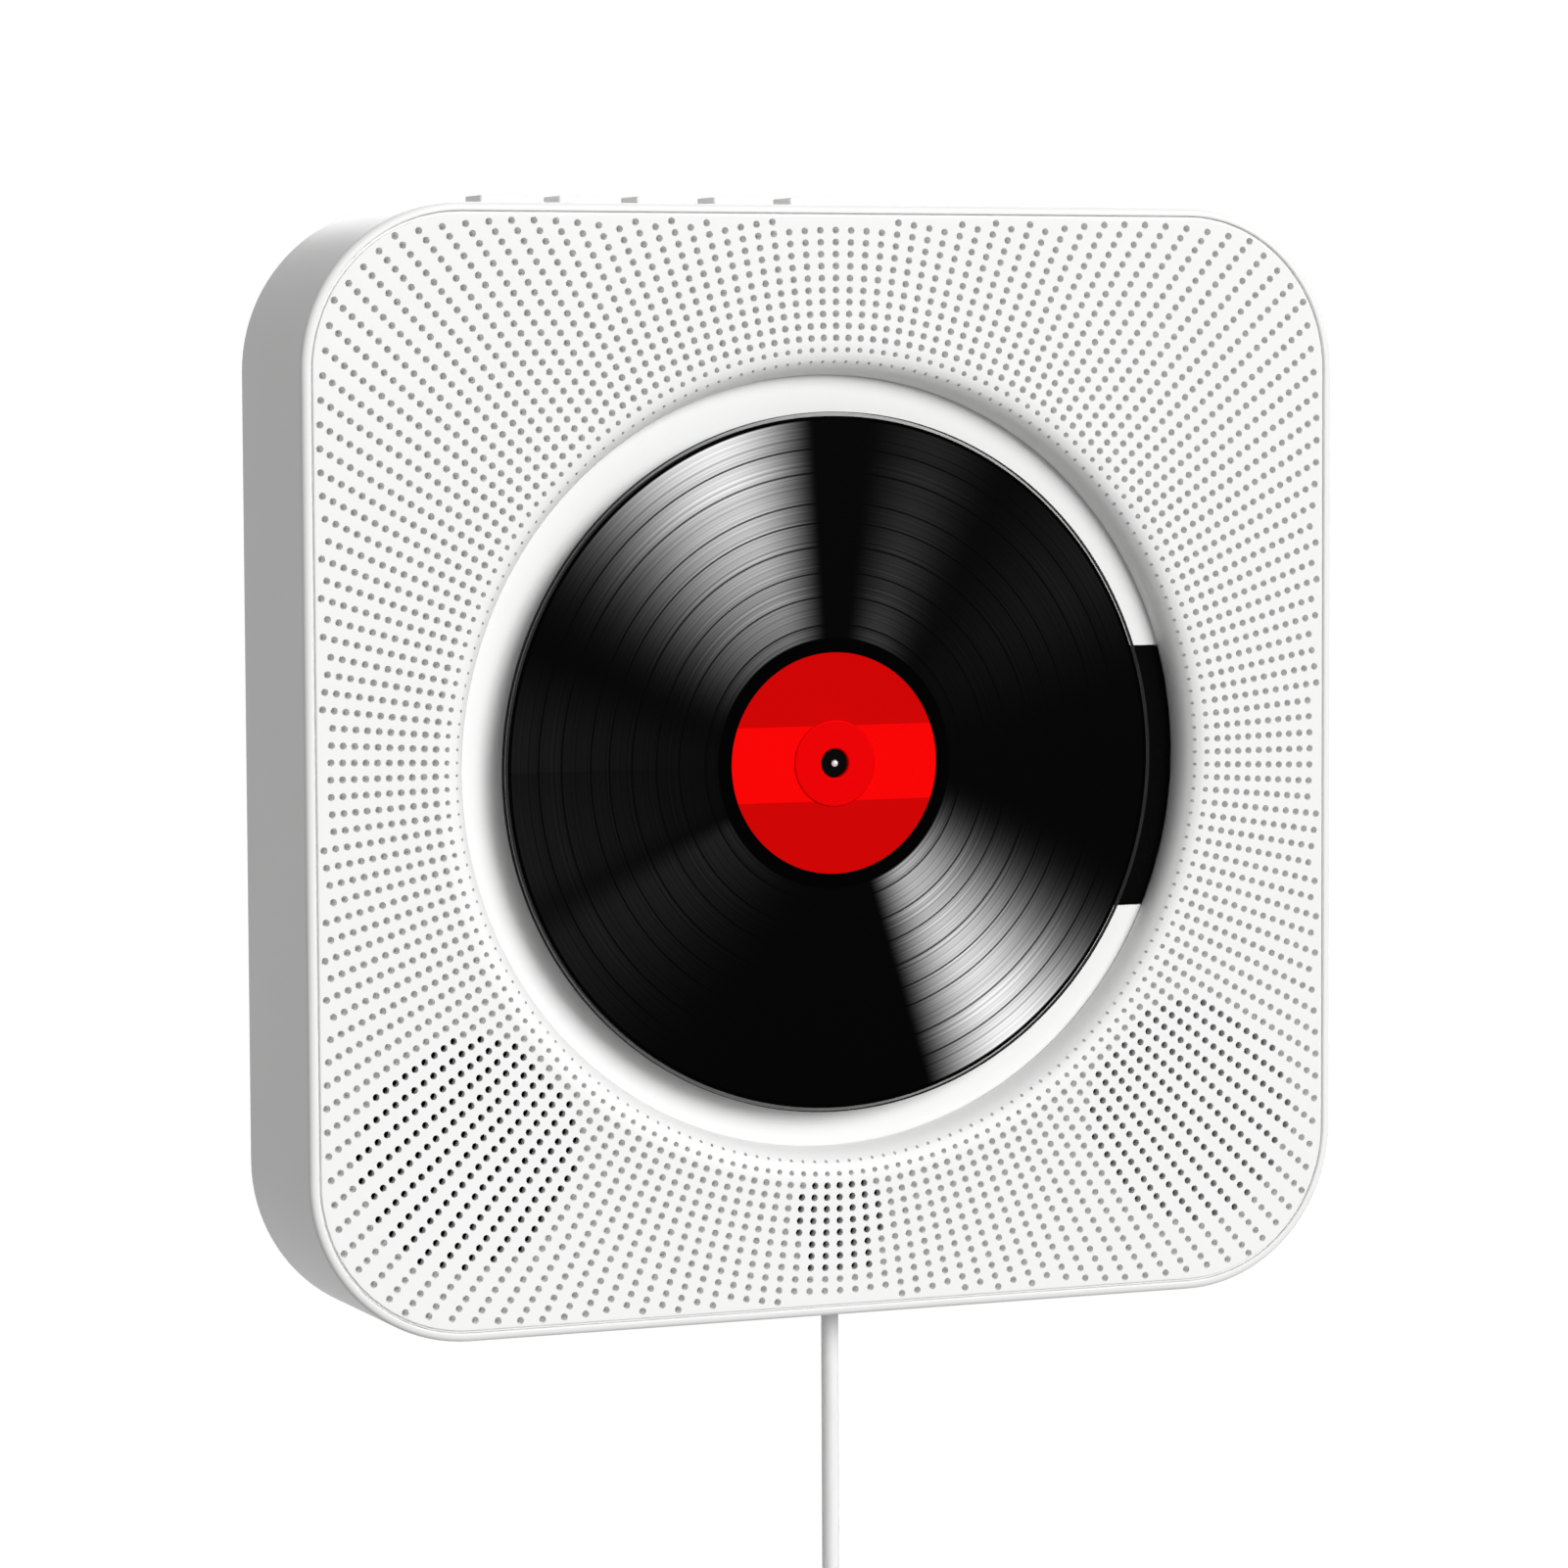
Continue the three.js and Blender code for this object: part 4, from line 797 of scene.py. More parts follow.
class PLAYER_OT_finishes(bpy.types.Operator):
    """Builds the shader groups and the materials, and gives them to the CAD nodes"""
    bl_idname = "cd_player.make_finishes"
    bl_label = "Finishes"

    def execute(self, context):
        build_grain()
        build_drift()
        build_rings()
        build_dust()
        for name, material in build_materials(context.scene.cd_player).items():
            FINISHES[name] = material.name
        for node, shown in frame["nodes"].items():
            for place in shown.material_slots:
                place.material = finish_of(SLOT_OF[node])
        return {"FINISHED"}


# Camera, light and floor

KEY_FROM = (0.36, -0.85, 0.38)
BACK_FILL_FROM = (0.5, 0.8, 0.45)


def make_camera(stage):
    camera = bpy.data.objects.new("camera", bpy.data.cameras.new("camera"))
    camera.data.lens = stage.lens
    camera.data.sensor_fit = "HORIZONTAL"
    camera.data.sensor_width = 36
    camera.data.clip_start = 10 * MM
    turn = Matrix.Rotation(-stage.heading, 4, "Z") @ Matrix.Rotation(QUARTER + stage.tilt, 4, "X")
    camera.matrix_world = Matrix.Translation(stage.place) @ turn @ Matrix.Rotation(stage.roll, 4, "Z")
    bpy.context.scene.collection.objects.link(camera)
    bpy.context.scene.camera = camera


def make_sun(name, strength, towards, spread):
    """A soft light that shines from the given direction"""
    lamp = bpy.data.lights.new(name, "SUN")
    lamp.energy = strength
    lamp.angle = spread
    sun = bpy.data.objects.new(name, lamp)
    sun.rotation_euler = Vector(towards).to_track_quat("Z", "Y").to_euler()
    bpy.context.scene.collection.objects.link(sun)


def seen_directly(tree):
    """1 for camera, glossy and transmission rays"""
    path = add_node(tree, "LightPath")
    either = calculate(tree, "MAXIMUM", path["Is Camera Ray"], path["Is Glossy Ray"])
    return calculate(tree, "MAXIMUM", either, path["Is Transmission Ray"])


def make_world(stage):
    world = bpy.data.worlds.new("studio")
    world.use_nodes = True
    tree = world.node_tree
    tree.nodes.clear()
    dim = add_node(tree, "Background", {"Color": WHITE, "Strength": stage.ambient})
    white = add_node(tree, "Background", {"Color": WHITE, "Strength": 1.0})
    mix = add_node(tree, "MixShader", {0: seen_directly(tree), 1: dim[0], 2: white[0]})
    add_node(tree, "OutputWorld", {"Surface": mix[0]})
    bpy.context.scene.world = world


def floor_material(stage, colour):
    """Matt white that glows like the backdrop where it is seen directly"""
    material = bpy.data.materials.new("Studio floor")
    material.use_nodes = True
    tree = material.node_tree
    tree.nodes.clear()
    matt = add_node(tree, "BsdfDiffuse", {"Color": opaque(colour)})
    seen = seen_directly(tree)
    strength = between(tree, seen, stage.ambient, stage.floor_glow)
    glow = add_node(tree, "Emission", {"Color": WHITE, "Strength": strength})
    glow_share = between(tree, seen, 1.0, 1 - stage.floor_matt)
    mix = add_node(tree, "MixShader", {0: glow_share, 1: matt[0], 2: glow[0]})
    add_node(tree, "OutputMaterial", {"Surface": mix[0]})
    return material


def make_floor(stage, colour):
    mesh = bmesh.new()
    bmesh.ops.create_grid(mesh, x_segments=1, y_segments=1, size=stage.floor_reach)
    bmesh.ops.translate(mesh, vec=(0, 0, -stage.floor_drop), verts=mesh.verts)
    data = bpy.data.meshes.new("floor")
    mesh.to_mesh(data)
    mesh.free()
    data.materials.append(floor_material(stage, colour))
    floor = bpy.data.objects.new("floor", data)
    bpy.context.scene.collection.objects.link(floor)


class PLAYER_OT_stage(bpy.types.Operator):
    """Sets up the camera, the light and the floor"""
    bl_idname = "cd_player.make_stage"
    bl_label = "Stage"

    def execute(self, context):
        settings = context.scene.cd_player
        stage = settings.stage
        make_camera(stage)
        make_sun("key", stage.key, KEY_FROM, stage.key_spread)
        make_sun("back_fill", stage.back_fill, BACK_FILL_FROM, stage.back_spread)
        make_world(stage)
        make_floor(stage, settings.colours.floor)
        return {"FINISHED"}


# Cord and knob

class PLAYER_OT_cord(bpy.types.Operator):
    """Hangs the pull cord from its bushing, with the knob at its end"""
    bl_idname = "cd_player.make_cord"
    bl_label = "Pull cord"

    def execute(self, context):
        run = Extent("pull_cord")
        x = run.x
        y = run.y
        high = run.high
        radius = run.radius
        hang = high.z - run.low.z
        step = 8 * MM
        steps = round(hang / step)
        line = bpy.data.curves.new("hanging_cord", "CURVE")
        line.dimensions = "3D"
        line.bevel_depth = radius
        line.bevel_resolution = 6
        line.use_fill_caps = True
        path = line.splines.new("POLY")
        path.points.add(steps)
        for place, point in enumerate(path.points):
            point.co = (x, y, high.z - hang * place / steps, 1)
        line.materials.append(finish_of("white_cord"))
        cord = bpy.data.objects.new("hanging_cord", line)
        context.scene.collection.objects.link(cord)
        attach(cord, BODY_OF["pull_cord"])
        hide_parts("pull_cord")
        knob = self.make_knob(x, y)
        return {"FINISHED"}

    def make_knob(self, x, y):
        """Drop-shaped knob round the cord's end"""
        knob = Extent("pull_knob")
        neck = 2.4 * MM
        edge = 1 * MM
        waist_share = 0.97
        shoulder_share = 1.25
        mouth_share = 0.9
        top = knob.high.z
        mesh = turned([
            (0, knob.low.z), *arc(knob.radius - edge, knob.low.z + edge, edge, -1, 0),
            (knob.radius, knob.z), (knob.radius * waist_share, knob.z + edge),
            (neck * shoulder_share, top - 2 * edge), (neck, top - edge / 2), (neck * mouth_share, top),
            (0, top),
        ], (x, y, 0), UPRIGHT)
        return add_piece("pull_knob_moulding", mesh, "pull_knob", "white_shell")


# Body shell

def rear_seat(shell):
    """Depth of the ledge behind which the rear cover lies"""
    return Extent("rear_cover").back - shell.cover - shell.seat


def shell_profile(shell, front_seat):
    """Closed cross-section of the side wall, as (inset, depth) points"""
    edge = shell.edge
    back = Extent("body_shell").back
    rear = rear_seat(shell)
    inner = shell.wall + shell.ledge
    return [
        *arc(edge, edge, edge, 2, 3),
        *arc(shell.rim - shell.rim_edge, shell.rim_edge, shell.rim_edge, 3, 4),
        (shell.rim, front_seat),
        (inner, front_seat),
        (inner, front_seat + shell.ledge_wall),
        (shell.wall, front_seat + shell.ledge_wall),
        (shell.wall, rear - shell.ledge_wall),
        (inner, rear - shell.ledge_wall),
        (inner, rear),
        (shell.wall, rear),
        *arc(shell.wall - shell.rim_edge, back - shell.rim_edge, shell.rim_edge, 0, 1),
        *arc(edge, back - edge, edge, 1, 2),
    ]


def sweep_round_square(profile, half, corner, steps):
    """Carries a profile of (inset, depth) points round a square with round corners"""
    mesh = bmesh.new()
    straight = half - corner
    line = edges_of(chain(mesh, [(half - inset, FRONT + depth, -straight) for inset, depth in profile]))
    quarter = Matrix.Rotation(-QUARTER, 3, "Y")
    run = Vector((0, 0, 2 * straight))
    centre = Vector((straight, 0, straight))
    for _side in range(4):
        made = bmesh.ops.extrude_edge_only(mesh, edges=line)["geom"]
        ends = verts_of(made)
        bmesh.ops.translate(mesh, vec=run, verts=ends)
        line = [edge for edge in edges_of(made) if set(edge.verts) <= set(ends)]
        made = bmesh.ops.spin(mesh, geom=ends + line, cent=centre, axis=-INWARD, angle=QUARTER, steps=steps)
        line = edges_of(made["geom_last"])
        run.rotate(quarter)
        centre.rotate(quarter)
    return cleaned(mesh)


def socket_axis(socket):
    """How deep a socket's round nose lies"""
    return socket.low.y + (socket.high.z - socket.low.z) / 2


def shell_openings(shell):
    """Everything that is cut out of the side wall"""
    gap = shell.seat
    narrower = shell.flange - gap
    inside = HALF - shell.wall - OVERRUN
    outside = HALF + OVERRUN
    tools = []
    for node in BUTTONS:
        low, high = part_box(node)
        tools.append(block(
            (low.x + narrower, low.y + narrower, inside), (high.x - narrower, high.y - narrower, outside),
            corner=shell.flange,
        ))
    for node, (nose, _bore, _depth) in SOCKETS.items():
        socket = Extent(node)
        tools.append(rod(SIDEWAYS, inside, outside, nose + gap, (0, socket_axis(socket), socket.z)))
    cord = Extent("pull_cord")
    tools.append(rod(UPRIGHT, -outside, -inside, shell.bushing + gap, (cord.x, cord.y, 0)))
    return gather(tools)


def shell_bosses(shell):
    """Screw bosses on the rear ledge"""
    tall = 12 * MM
    radius = 4 * MM
    rear = FRONT + rear_seat(shell)
    places = [(screw.x, 0, screw.z) for screw in map(Extent, COVER_SCREWS)]
    return gather([rod(INWARD, rear - tall, rear, radius, place, steps=32) for place in places])


class PLAYER_OT_shell(bpy.types.Operator):
    """Models the square side wall with its rim, ledges, bosses and openings"""
    bl_idname = "cd_player.make_shell"
    bl_label = "Body shell"

    def execute(self, context):
        settings = context.scene.cd_player
        shell = settings.shell
        profile = shell_profile(shell, settings.grille.thickness + shell.seat)
        mesh = sweep_round_square(profile, HALF, shell.corner, shell.steps)
        mesh = carve(mesh, shell_bosses(shell), "UNION")
        mesh = carve(mesh, shell_openings(shell))
        add_piece("body_moulding", mesh, "body_shell", "white_shell")
        return {"FINISHED"}


# Front grille

def row_radius(grille, row):
    return row * grille.row_pitch - grille.row_offset


def grille_rings(grille):
    """Radius and depth of each ring of the front face, from the crease of the well outwards"""
    turns = [step / grille.roll_steps * QUARTER for step in range(grille.roll_steps - 1)]
    roll = [
        (grille.roll_radius - grille.roll_width * math.cos(turn), grille.well_depth * (1 - math.sin(turn)))
        for turn in turns
    ]
    first = math.ceil((grille.roll_radius + grille.row_offset) / grille.row_pitch - 0.5)
    last = math.ceil(math.sqrt(2) * grille.half / grille.row_pitch)
    return roll + [(row_radius(grille, row + 0.5), 0) for row in range(first, last)]


def grille_planes(half, corner, steps):
    """Point and outward direction of each side of the outline"""
    straight = half - corner
    planes = []
    for step in range(4 * steps):
        outwards = around(1, step / steps * QUARTER)
        middle = Vector((math.copysign(straight, outwards.x), 0, math.copysign(straight, outwards.z)))
        planes.append((middle + corner * outwards, outwards))
    return planes


def cut_off(mesh, point, outwards):
    """Takes away what lies outside a plane and returns the cut's parts"""
    return bmesh.ops.bisect_plane(
        mesh, geom=everything(mesh), dist=MERGE, plane_co=point, plane_no=outwards, clear_outer=True,
    )["geom_cut"]


def front_face(grille, half, corner):
    """The rolled and flat face as a grid of cells, one for each perforation, cut to the outline"""
    mesh = bmesh.new()
    half_step = math.pi / grille.rays
    points = [around(radius, -half_step) + INWARD * (FRONT + depth) for radius, depth in grille_rings(grille)]
    line = chain(mesh, points, closed=False)
    bmesh.ops.spin(
        mesh, geom=line, cent=(0, 0, 0), axis=-INWARD, angle=FULL_TURN, steps=grille.rays, use_merge=True,
    )
    for point, outwards in grille_planes(half, corner, grille.outline_steps):
        cut_off(mesh, point, outwards)
    bmesh.ops.remove_doubles(mesh, verts=mesh.verts, dist=MERGE)
    return mesh


def move_to_back(grille, verts):
    """Carries the verts of a copy of the front face to the back of the panel"""
    for vert in verts:
        radius = math.hypot(vert.co.x, vert.co.z)
        inset = max(0, grille.roll_radius - radius) / grille.roll_width
        rise = 1 - (vert.co.y - FRONT) / grille.well_depth
        vert.co.y = FRONT + grille.well_depth - (grille.well_depth - grille.thickness) * rise
        if inset > 0:
            new_radius = grille.roll_radius - (grille.roll_width - grille.well_wall) * inset
            vert.co.x *= new_radius / radius
            vert.co.z *= new_radius / radius


def push_outline(mesh, edges, straight, corner, depth):
    """Extrudes the outline's edges to a round square of that corner radius, at that depth"""
    made = bmesh.ops.extrude_edge_only(mesh, edges=edges)["geom"]
    ends = set(verts_of(made))
    for vert in ends:
        core = Vector((
            max(-straight, min(straight, vert.co.x)), vert.co.y, max(-straight, min(straight, vert.co.z)),
        ))
        vert.co = core + (vert.co - core).normalized() * corner
        vert.co.y = FRONT + depth
    return [edge for edge in edges_of(made) if set(edge.verts) <= ends]


def push_crease(mesh, edges, radius):
    """Extrudes the edges round the well outwards to a radius"""
    for vert in verts_of(bmesh.ops.extrude_edge_only(mesh, edges=edges)["geom"]):
        stretch = radius / vert.co.xz.length
        vert.co.x *= stretch
        vert.co.z *= stretch


def perforation(grille, straight, face):
    """(centre, radius, goes through) of the perforation in a cell, or None"""
    middle = face.calc_center_median()
    radius = math.hypot(middle.x, middle.z)
    row = round((radius + grille.row_offset) / grille.row_pitch)
    first = math.ceil((grille.roll_radius - grille.roll_width) / grille.row_pitch) + 1
    off_row = radius < grille.roll_radius and abs(radius - row_radius(grille, row)) > grille.slack
    if row < first or off_row:
        return None
    step = FULL_TURN / grille.rays
    centre = around(row_radius(grille, row), round(math.atan2(middle.z, middle.x) / step) * step)
    centre.y = middle.y
    over_x = max(0, abs(centre.x) - straight)
    over_z = max(0, abs(centre.z) - straight)
    if math.hypot(over_x, over_z) > grille.field_half - straight:
        return None
    size = {first: grille.first_hole, first + 1: grille.second_hole}.get(row, grille.hole)
    return centre, size / 2, size == grille.hole and goes_through(grille, centre)


def goes_through(grille, centre):
    """Whether a perforation lies before a speaker or before the receiver"""
    screen = Extent("speaker_screen_right")
    to_speaker = math.hypot(abs(centre.x) - screen.x, centre.z - screen.z)
    to_eye = abs(centre.z - Extent("ir_receiver").z)
    before_eye = abs(centre.x) < grille.eye_half_width and to_eye < grille.eye_half_height
    return before_eye or to_speaker < grille.sound_radius


def open_cells(mesh, cells):
    """Gives each cell an inner face of the perforation's size; cells maps faces to perforations"""
    margin = 0.05 * MM
    bmesh.ops.bisect_edges(mesh, edges=list({edge for face in cells for edge in face.edges}), cuts=1)
    bmesh.ops.inset_individual(mesh, faces=list(cells), thickness=margin, use_even_offset=True)
    for face, (centre, radius, _through) in cells.items():
        make_round(face, centre, radius)


def make_round(face, centre, radius):
    """Spreads a face's verts evenly round a circle in its own plane, each near to where it was"""
    slope = face.normal.copy()
    step = -math.copysign(FULL_TURN / len(face.verts), slope.y)
    turns = [math.atan2(vert.co.z - centre.z, vert.co.x - centre.x) for vert in face.verts]
    lean = sum((around(1, turn - place * step) for place, turn in enumerate(turns)), Vector())
    start = math.atan2(lean.z, lean.x)
    for place, vert in enumerate(face.verts):
        offset = around(radius, start + place * step)
        offset.y = -(slope.x * offset.x + slope.z * offset.z) / slope.y
        vert.co = centre + offset


def sink(mesh, faces, depth, widening):
    """Extrudes faces one by one, moves them inwards and scales each about its middle"""
    made = bmesh.ops.extrude_discrete_faces(mesh, faces=faces)["faces"]
    for face in made:
        middle = face.calc_center_median()
        for vert in face.verts:
            vert.co = middle + (vert.co - middle) * widening + INWARD * depth
    return made


class PLAYER_OT_grille(bpy.types.Operator):
    """Models the perforated panel with the rolled edge of the well"""
    bl_idname = "cd_player.make_grille"
    bl_label = "Front grille"

    def execute(self, context):
        settings = context.scene.cd_player
        grille = settings.grille
        straight = HALF - settings.shell.corner
        half = grille.half - grille.edge
        mesh = front_face(grille, half, half - straight)
        front = mesh.faces[:]
        copied = bmesh.ops.duplicate(mesh, geom=everything(mesh))["geom"]
        back = [item for item in copied if isinstance(item, bmesh.types.BMFace)]
        move_to_back(grille, verts_of(copied))
        rim = HALF - settings.shell.rim - grille.step_gap - straight
        self.close_edges(mesh, grille, straight, rim, front, back)
        self.open_holes(mesh, grille, straight, front, back)
        add_piece("front_grille_moulding", cleaned(mesh), "front_grille", "white_panel")
        return {"FINISHED"}

    def perforations(self, grille, straight, faces):
        found = {face: perforation(grille, straight, face) for face in faces}
        return {face: hole for face, hole in found.items() if hole}

    def open_holes(self, mesh, grille, straight, front, back):
        """Sinks the blind holes and carries the others through to the back"""
        cells = self.perforations(grille, straight, front)
        at_back = self.perforations(grille, straight, back)
        behind = {
            face: (centre, grille.flare / 2, goes_on)
            for face, (centre, _radius, goes_on) in at_back.items() if goes_on
        }
        open_cells(mesh, cells)
        open_cells(mesh, behind)
        for radius in {hole[1] for hole in cells.values()}:
            blind = [face for face, hole in cells.items() if hole[1] == radius and not hole[2]]
            sink(mesh, blind, grille.dimple * 2 * radius / grille.hole, grille.taper)
        necks = sink(mesh, [face for face, hole in cells.items() if hole[2]], grille.neck, 1)
        ends = sink(mesh, necks, grille.thickness - grille.neck, grille.flare / grille.hole)
        bmesh.ops.delete(mesh, geom=ends + list(behind), context="FACES_ONLY")

    def close_edges(self, mesh, grille, straight, rim, front, back):
        """Carries the open edges of the front and the back to where they meet"""
        corner = grille.half - grille.edge - straight
        outline, crease = self.open_edges(front, grille)
        rounding = arc(corner, grille.edge, grille.edge, -1, 0, steps=3)
        steps = [*rounding[1:], (grille.half - straight, grille.step)]
        for reach, depth in [*steps, (rim, grille.step), (rim, grille.thickness)]:
            outline = push_outline(mesh, outline, straight, reach, depth)
        back_outline, _back_crease = self.open_edges(back, grille)
        push_outline(mesh, back_outline, straight, rim, grille.thickness)
        push_crease(mesh, crease, grille.roll_radius - grille.roll_width + grille.well_wall)

    def open_edges(self, faces, grille):
        """The open edges round the outline, and those round the well"""
        edges = {edge for face in faces for edge in face.edges if edge.is_boundary}
        outline = [edge for edge in edges if edge.verts[0].co.xz.length > grille.roll_radius]
        return outline, list(edges.difference(outline))


# Disc tray and drive

def drive_window(radius, gap, front, back):
    """The opening for the drive's platform: a round plate cut off on three sides"""
    left = 30 * MM
    lower = 26.7 * MM
    upper = 18.4 * MM
    flat = math.radians(0.5)
    mesh = rod(INWARD, FRONT + front - OVERRUN, FRONT + back + OVERRUN, radius + gap, (0, 0, 0), steps=160)
    for outwards, reach in ((-SIDEWAYS, left), (-UPRIGHT, lower), (UPRIGHT, upper)):
        cut = cut_off(mesh, outwards * (reach + gap), outwards)
        bmesh.ops.triangle_fill(mesh, use_beauty=True, edges=edges_of(cut))
    bmesh.ops.dissolve_limit(mesh, angle_limit=flat, verts=mesh.verts, edges=mesh.edges)
    return cleaned(mesh)


class PLAYER_OT_tray(bpy.types.Operator):
    """Models the floor of the well with the window for the drive"""
    bl_idname = "cd_player.make_tray"
    bl_label = "Disc tray"

    def execute(self, context):
        tray = Extent("disc_tray")
        edge = 0.15 * MM
        margin = 1 * MM
        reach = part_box("drive_chassis")[1].x
        mesh = turned(
            [(0, tray.front), (tray.high.x, tray.front), (tray.high.x, tray.back), (0, tray.back)], steps=160,
        )
        gap = context.scene.cd_player.shell.seat
        mesh = carve(mesh, drive_window(reach, gap, tray.front, tray.back))
        soften(mesh, edge, keep=lambda line: line.verts[0].co.xz.length < reach + margin)
        add_piece("disc_tray_moulding", mesh, "disc_tray", "white_panel")
        return {"FINISHED"}


class PLAYER_OT_drive(bpy.types.Operator):
    """Finishes the drive chassis, the sled and its lens"""
    bl_idname = "cd_player.make_drive"
    bl_label = "Drive"

    def execute(self, context):
        chassis_edge = 0.2 * MM
        sled_edge = 0.15 * MM
        chassis = refined("drive_chassis", chassis_edge)
        add_piece("drive_chassis_moulding", chassis, "drive_chassis", "black_plastic")
        add_piece("pickup_sled_moulding", refined("pickup_sled", sled_edge), "pickup_sled", "black_plastic")
        self.make_lens()
        return {"FINISHED"}

    def make_lens(self):
        lens = Extent("pickup_lens")
        rise = 0.7 * MM
        glass_share = 0.75
        crest_share = 0.9
        crest_rise_share = 0.6
        clear = lens.radius * glass_share
        centre = (lens.x, FRONT, 0)
        holder = turned([
            (clear, lens.front + rise), (lens.radius * crest_share, lens.front + rise * crest_rise_share),
            (lens.radius, lens.front + rise), (lens.radius, lens.back), (clear, lens.back),
        ], centre)
        add_piece("pickup_lens_holder", holder, "pickup_lens", "black_plastic")
        foot = lens.front + 2 * rise
        glass = turned([*dome(clear, lens.front, rise, steps=8), (clear, foot), (0, foot)], centre)
        add_piece("pickup_lens_glass", glass, "pickup_lens", "lens_glass", replace=False)


# Disc, label and spindle

class PLAYER_OT_disc(bpy.types.Operator):
    """Models the disc and its label"""
    bl_idname = "cd_player.make_disc"
    bl_label = "Disc"

    def execute(self, context):
        sizes = context.scene.cd_player.disc
        disc = Extent("disc")
        front = disc.front
        inner = sizes.hole / 2
        label = sizes.label / 2
        edge = sizes.edge
        relief = sizes.relief
        side = disc.high.x - edge
        mesh = turned([
            (inner, disc.back), (inner, front + edge / 2), (inner + edge / 2, front),
            (label + edge, front), (label + 2 * edge, front + relief),
            (sizes.smooth - edge, front + relief), (sizes.smooth, front + relief / 2),
            (sizes.rim, front + relief / 2), (sizes.rim + edge, front),
            *arc(side, front + edge, edge, -1, 0), *arc(side, disc.back - edge, edge, 0, 1),
        ], steps=sizes.steps)
        add_piece("disc_pressing", mesh, "disc", "black_disc")
        hole = sizes.label_inner / 2
        lift = sizes.label_thickness
        ring = turned([
            (hole, front + relief), (hole, front - lift), (label - lift, front - lift), (label, front),
            (label, front + relief),
        ], steps=sizes.steps)
        add_piece("disc_label", ring, "disc", "label", replace=False)
        return {"FINISHED"}


class PLAYER_OT_spindle(bpy.types.Operator):
    """Models the hub cap, the turntable and the tip of the shaft"""
    bl_idname = "cd_player.make_spindle"
    bl_label = "Spindle"

    def execute(self, context):
        sizes = context.scene.cd_player.disc
        hub = Extent("hub_cap")
        bore = 2.5 * MM
        edge = 0.3 * MM
        rim = sizes.hole / 2 - sizes.hub_gap
        front = hub.front + edge
        cap = turned([
            (bore, hub.back), *arc(bore + edge, front, edge, 2, 3), *arc(rim - edge, front, edge, 3, 4),
            (rim, hub.back),
        ], steps=96)
        add_piece("hub_cap_moulding", cap, "hub_cap", "red_cap")
        self.make_turntable()
        self.make_shaft()
        return {"FINISHED"}

    def make_turntable(self):
        table = Extent("turntable")
        bore = 0.75 * MM
        boss = 2.35 * MM
        flange_front = 2.8 * MM
        flange_back = 4.8 * MM
        rib = 1.2 * MM
        lip = 0.15 * MM
        web = 6 * MM
        hub = 3 * MM
        out = table.radius
        seat = out - 3 * rib
        mesh = turned([
            (bore, table.back), (bore, table.front), (boss - lip, table.front), (boss, table.front + lip),
            (boss, flange_front + lip), (seat, flange_front + lip), (seat + lip, flange_front),
            (out - lip, flange_front), (out, flange_front + lip), (out, flange_back - lip),
            (out - lip, flange_back), (out - rib, flange_back), (out - rib, flange_back - rib),
            (web, flange_back - rib), (hub, flange_back), (hub, table.back),
        ], steps=96)
        add_piece("turntable_moulding", mesh, "turntable", "black_plastic")

    def make_shaft(self):
        shaft = Extent("spindle_shaft")
        radius = shaft.high.x
        tip = dome(radius, shaft.front, radius, steps=6)
        mesh = turned([*tip, (radius, shaft.back), (0, shaft.back)], steps=32)
        add_piece("spindle_pin", mesh, "spindle_shaft", "steel")


# Buttons, sockets and the bushing

class PLAYER_OT_buttons(bpy.types.Operator):
    """Models the five buttons with their flanges and stems"""
    bl_idname = "cd_player.make_buttons"
    bl_label = "Buttons"

    def execute(self, context):
        shell = context.scene.cd_player.shell
        flange = shell.flange
        under = HALF - shell.wall - shell.seat
        buried = under - flange / 2
        edge = 0.25 * MM
        stem_radius = 1.2 * MM
        for node in BUTTONS:
            key = Extent(node)
            low = key.low
            high = key.high
            cap = block(
                (low.x + flange, low.y + flange, buried), (high.x - flange, high.y - flange, high.z),
                corner=flange / 2,
            )
            soften(cap, edge, steps=3, keep=lambda line: min(vert.co.z for vert in line.verts) > HALF)
            plate = block((low.x, low.y, under - flange), (high.x, high.y, under), corner=flange)
            stem = rod(UPRIGHT, low.z, buried, stem_radius, (key.x, key.y, 0), steps=24)
            mesh = carve(carve(cap, plate, "UNION"), stem, "UNION")
            add_piece(f"{node}_moulding", mesh, node, "white_shell")
        return {"FINISHED"}


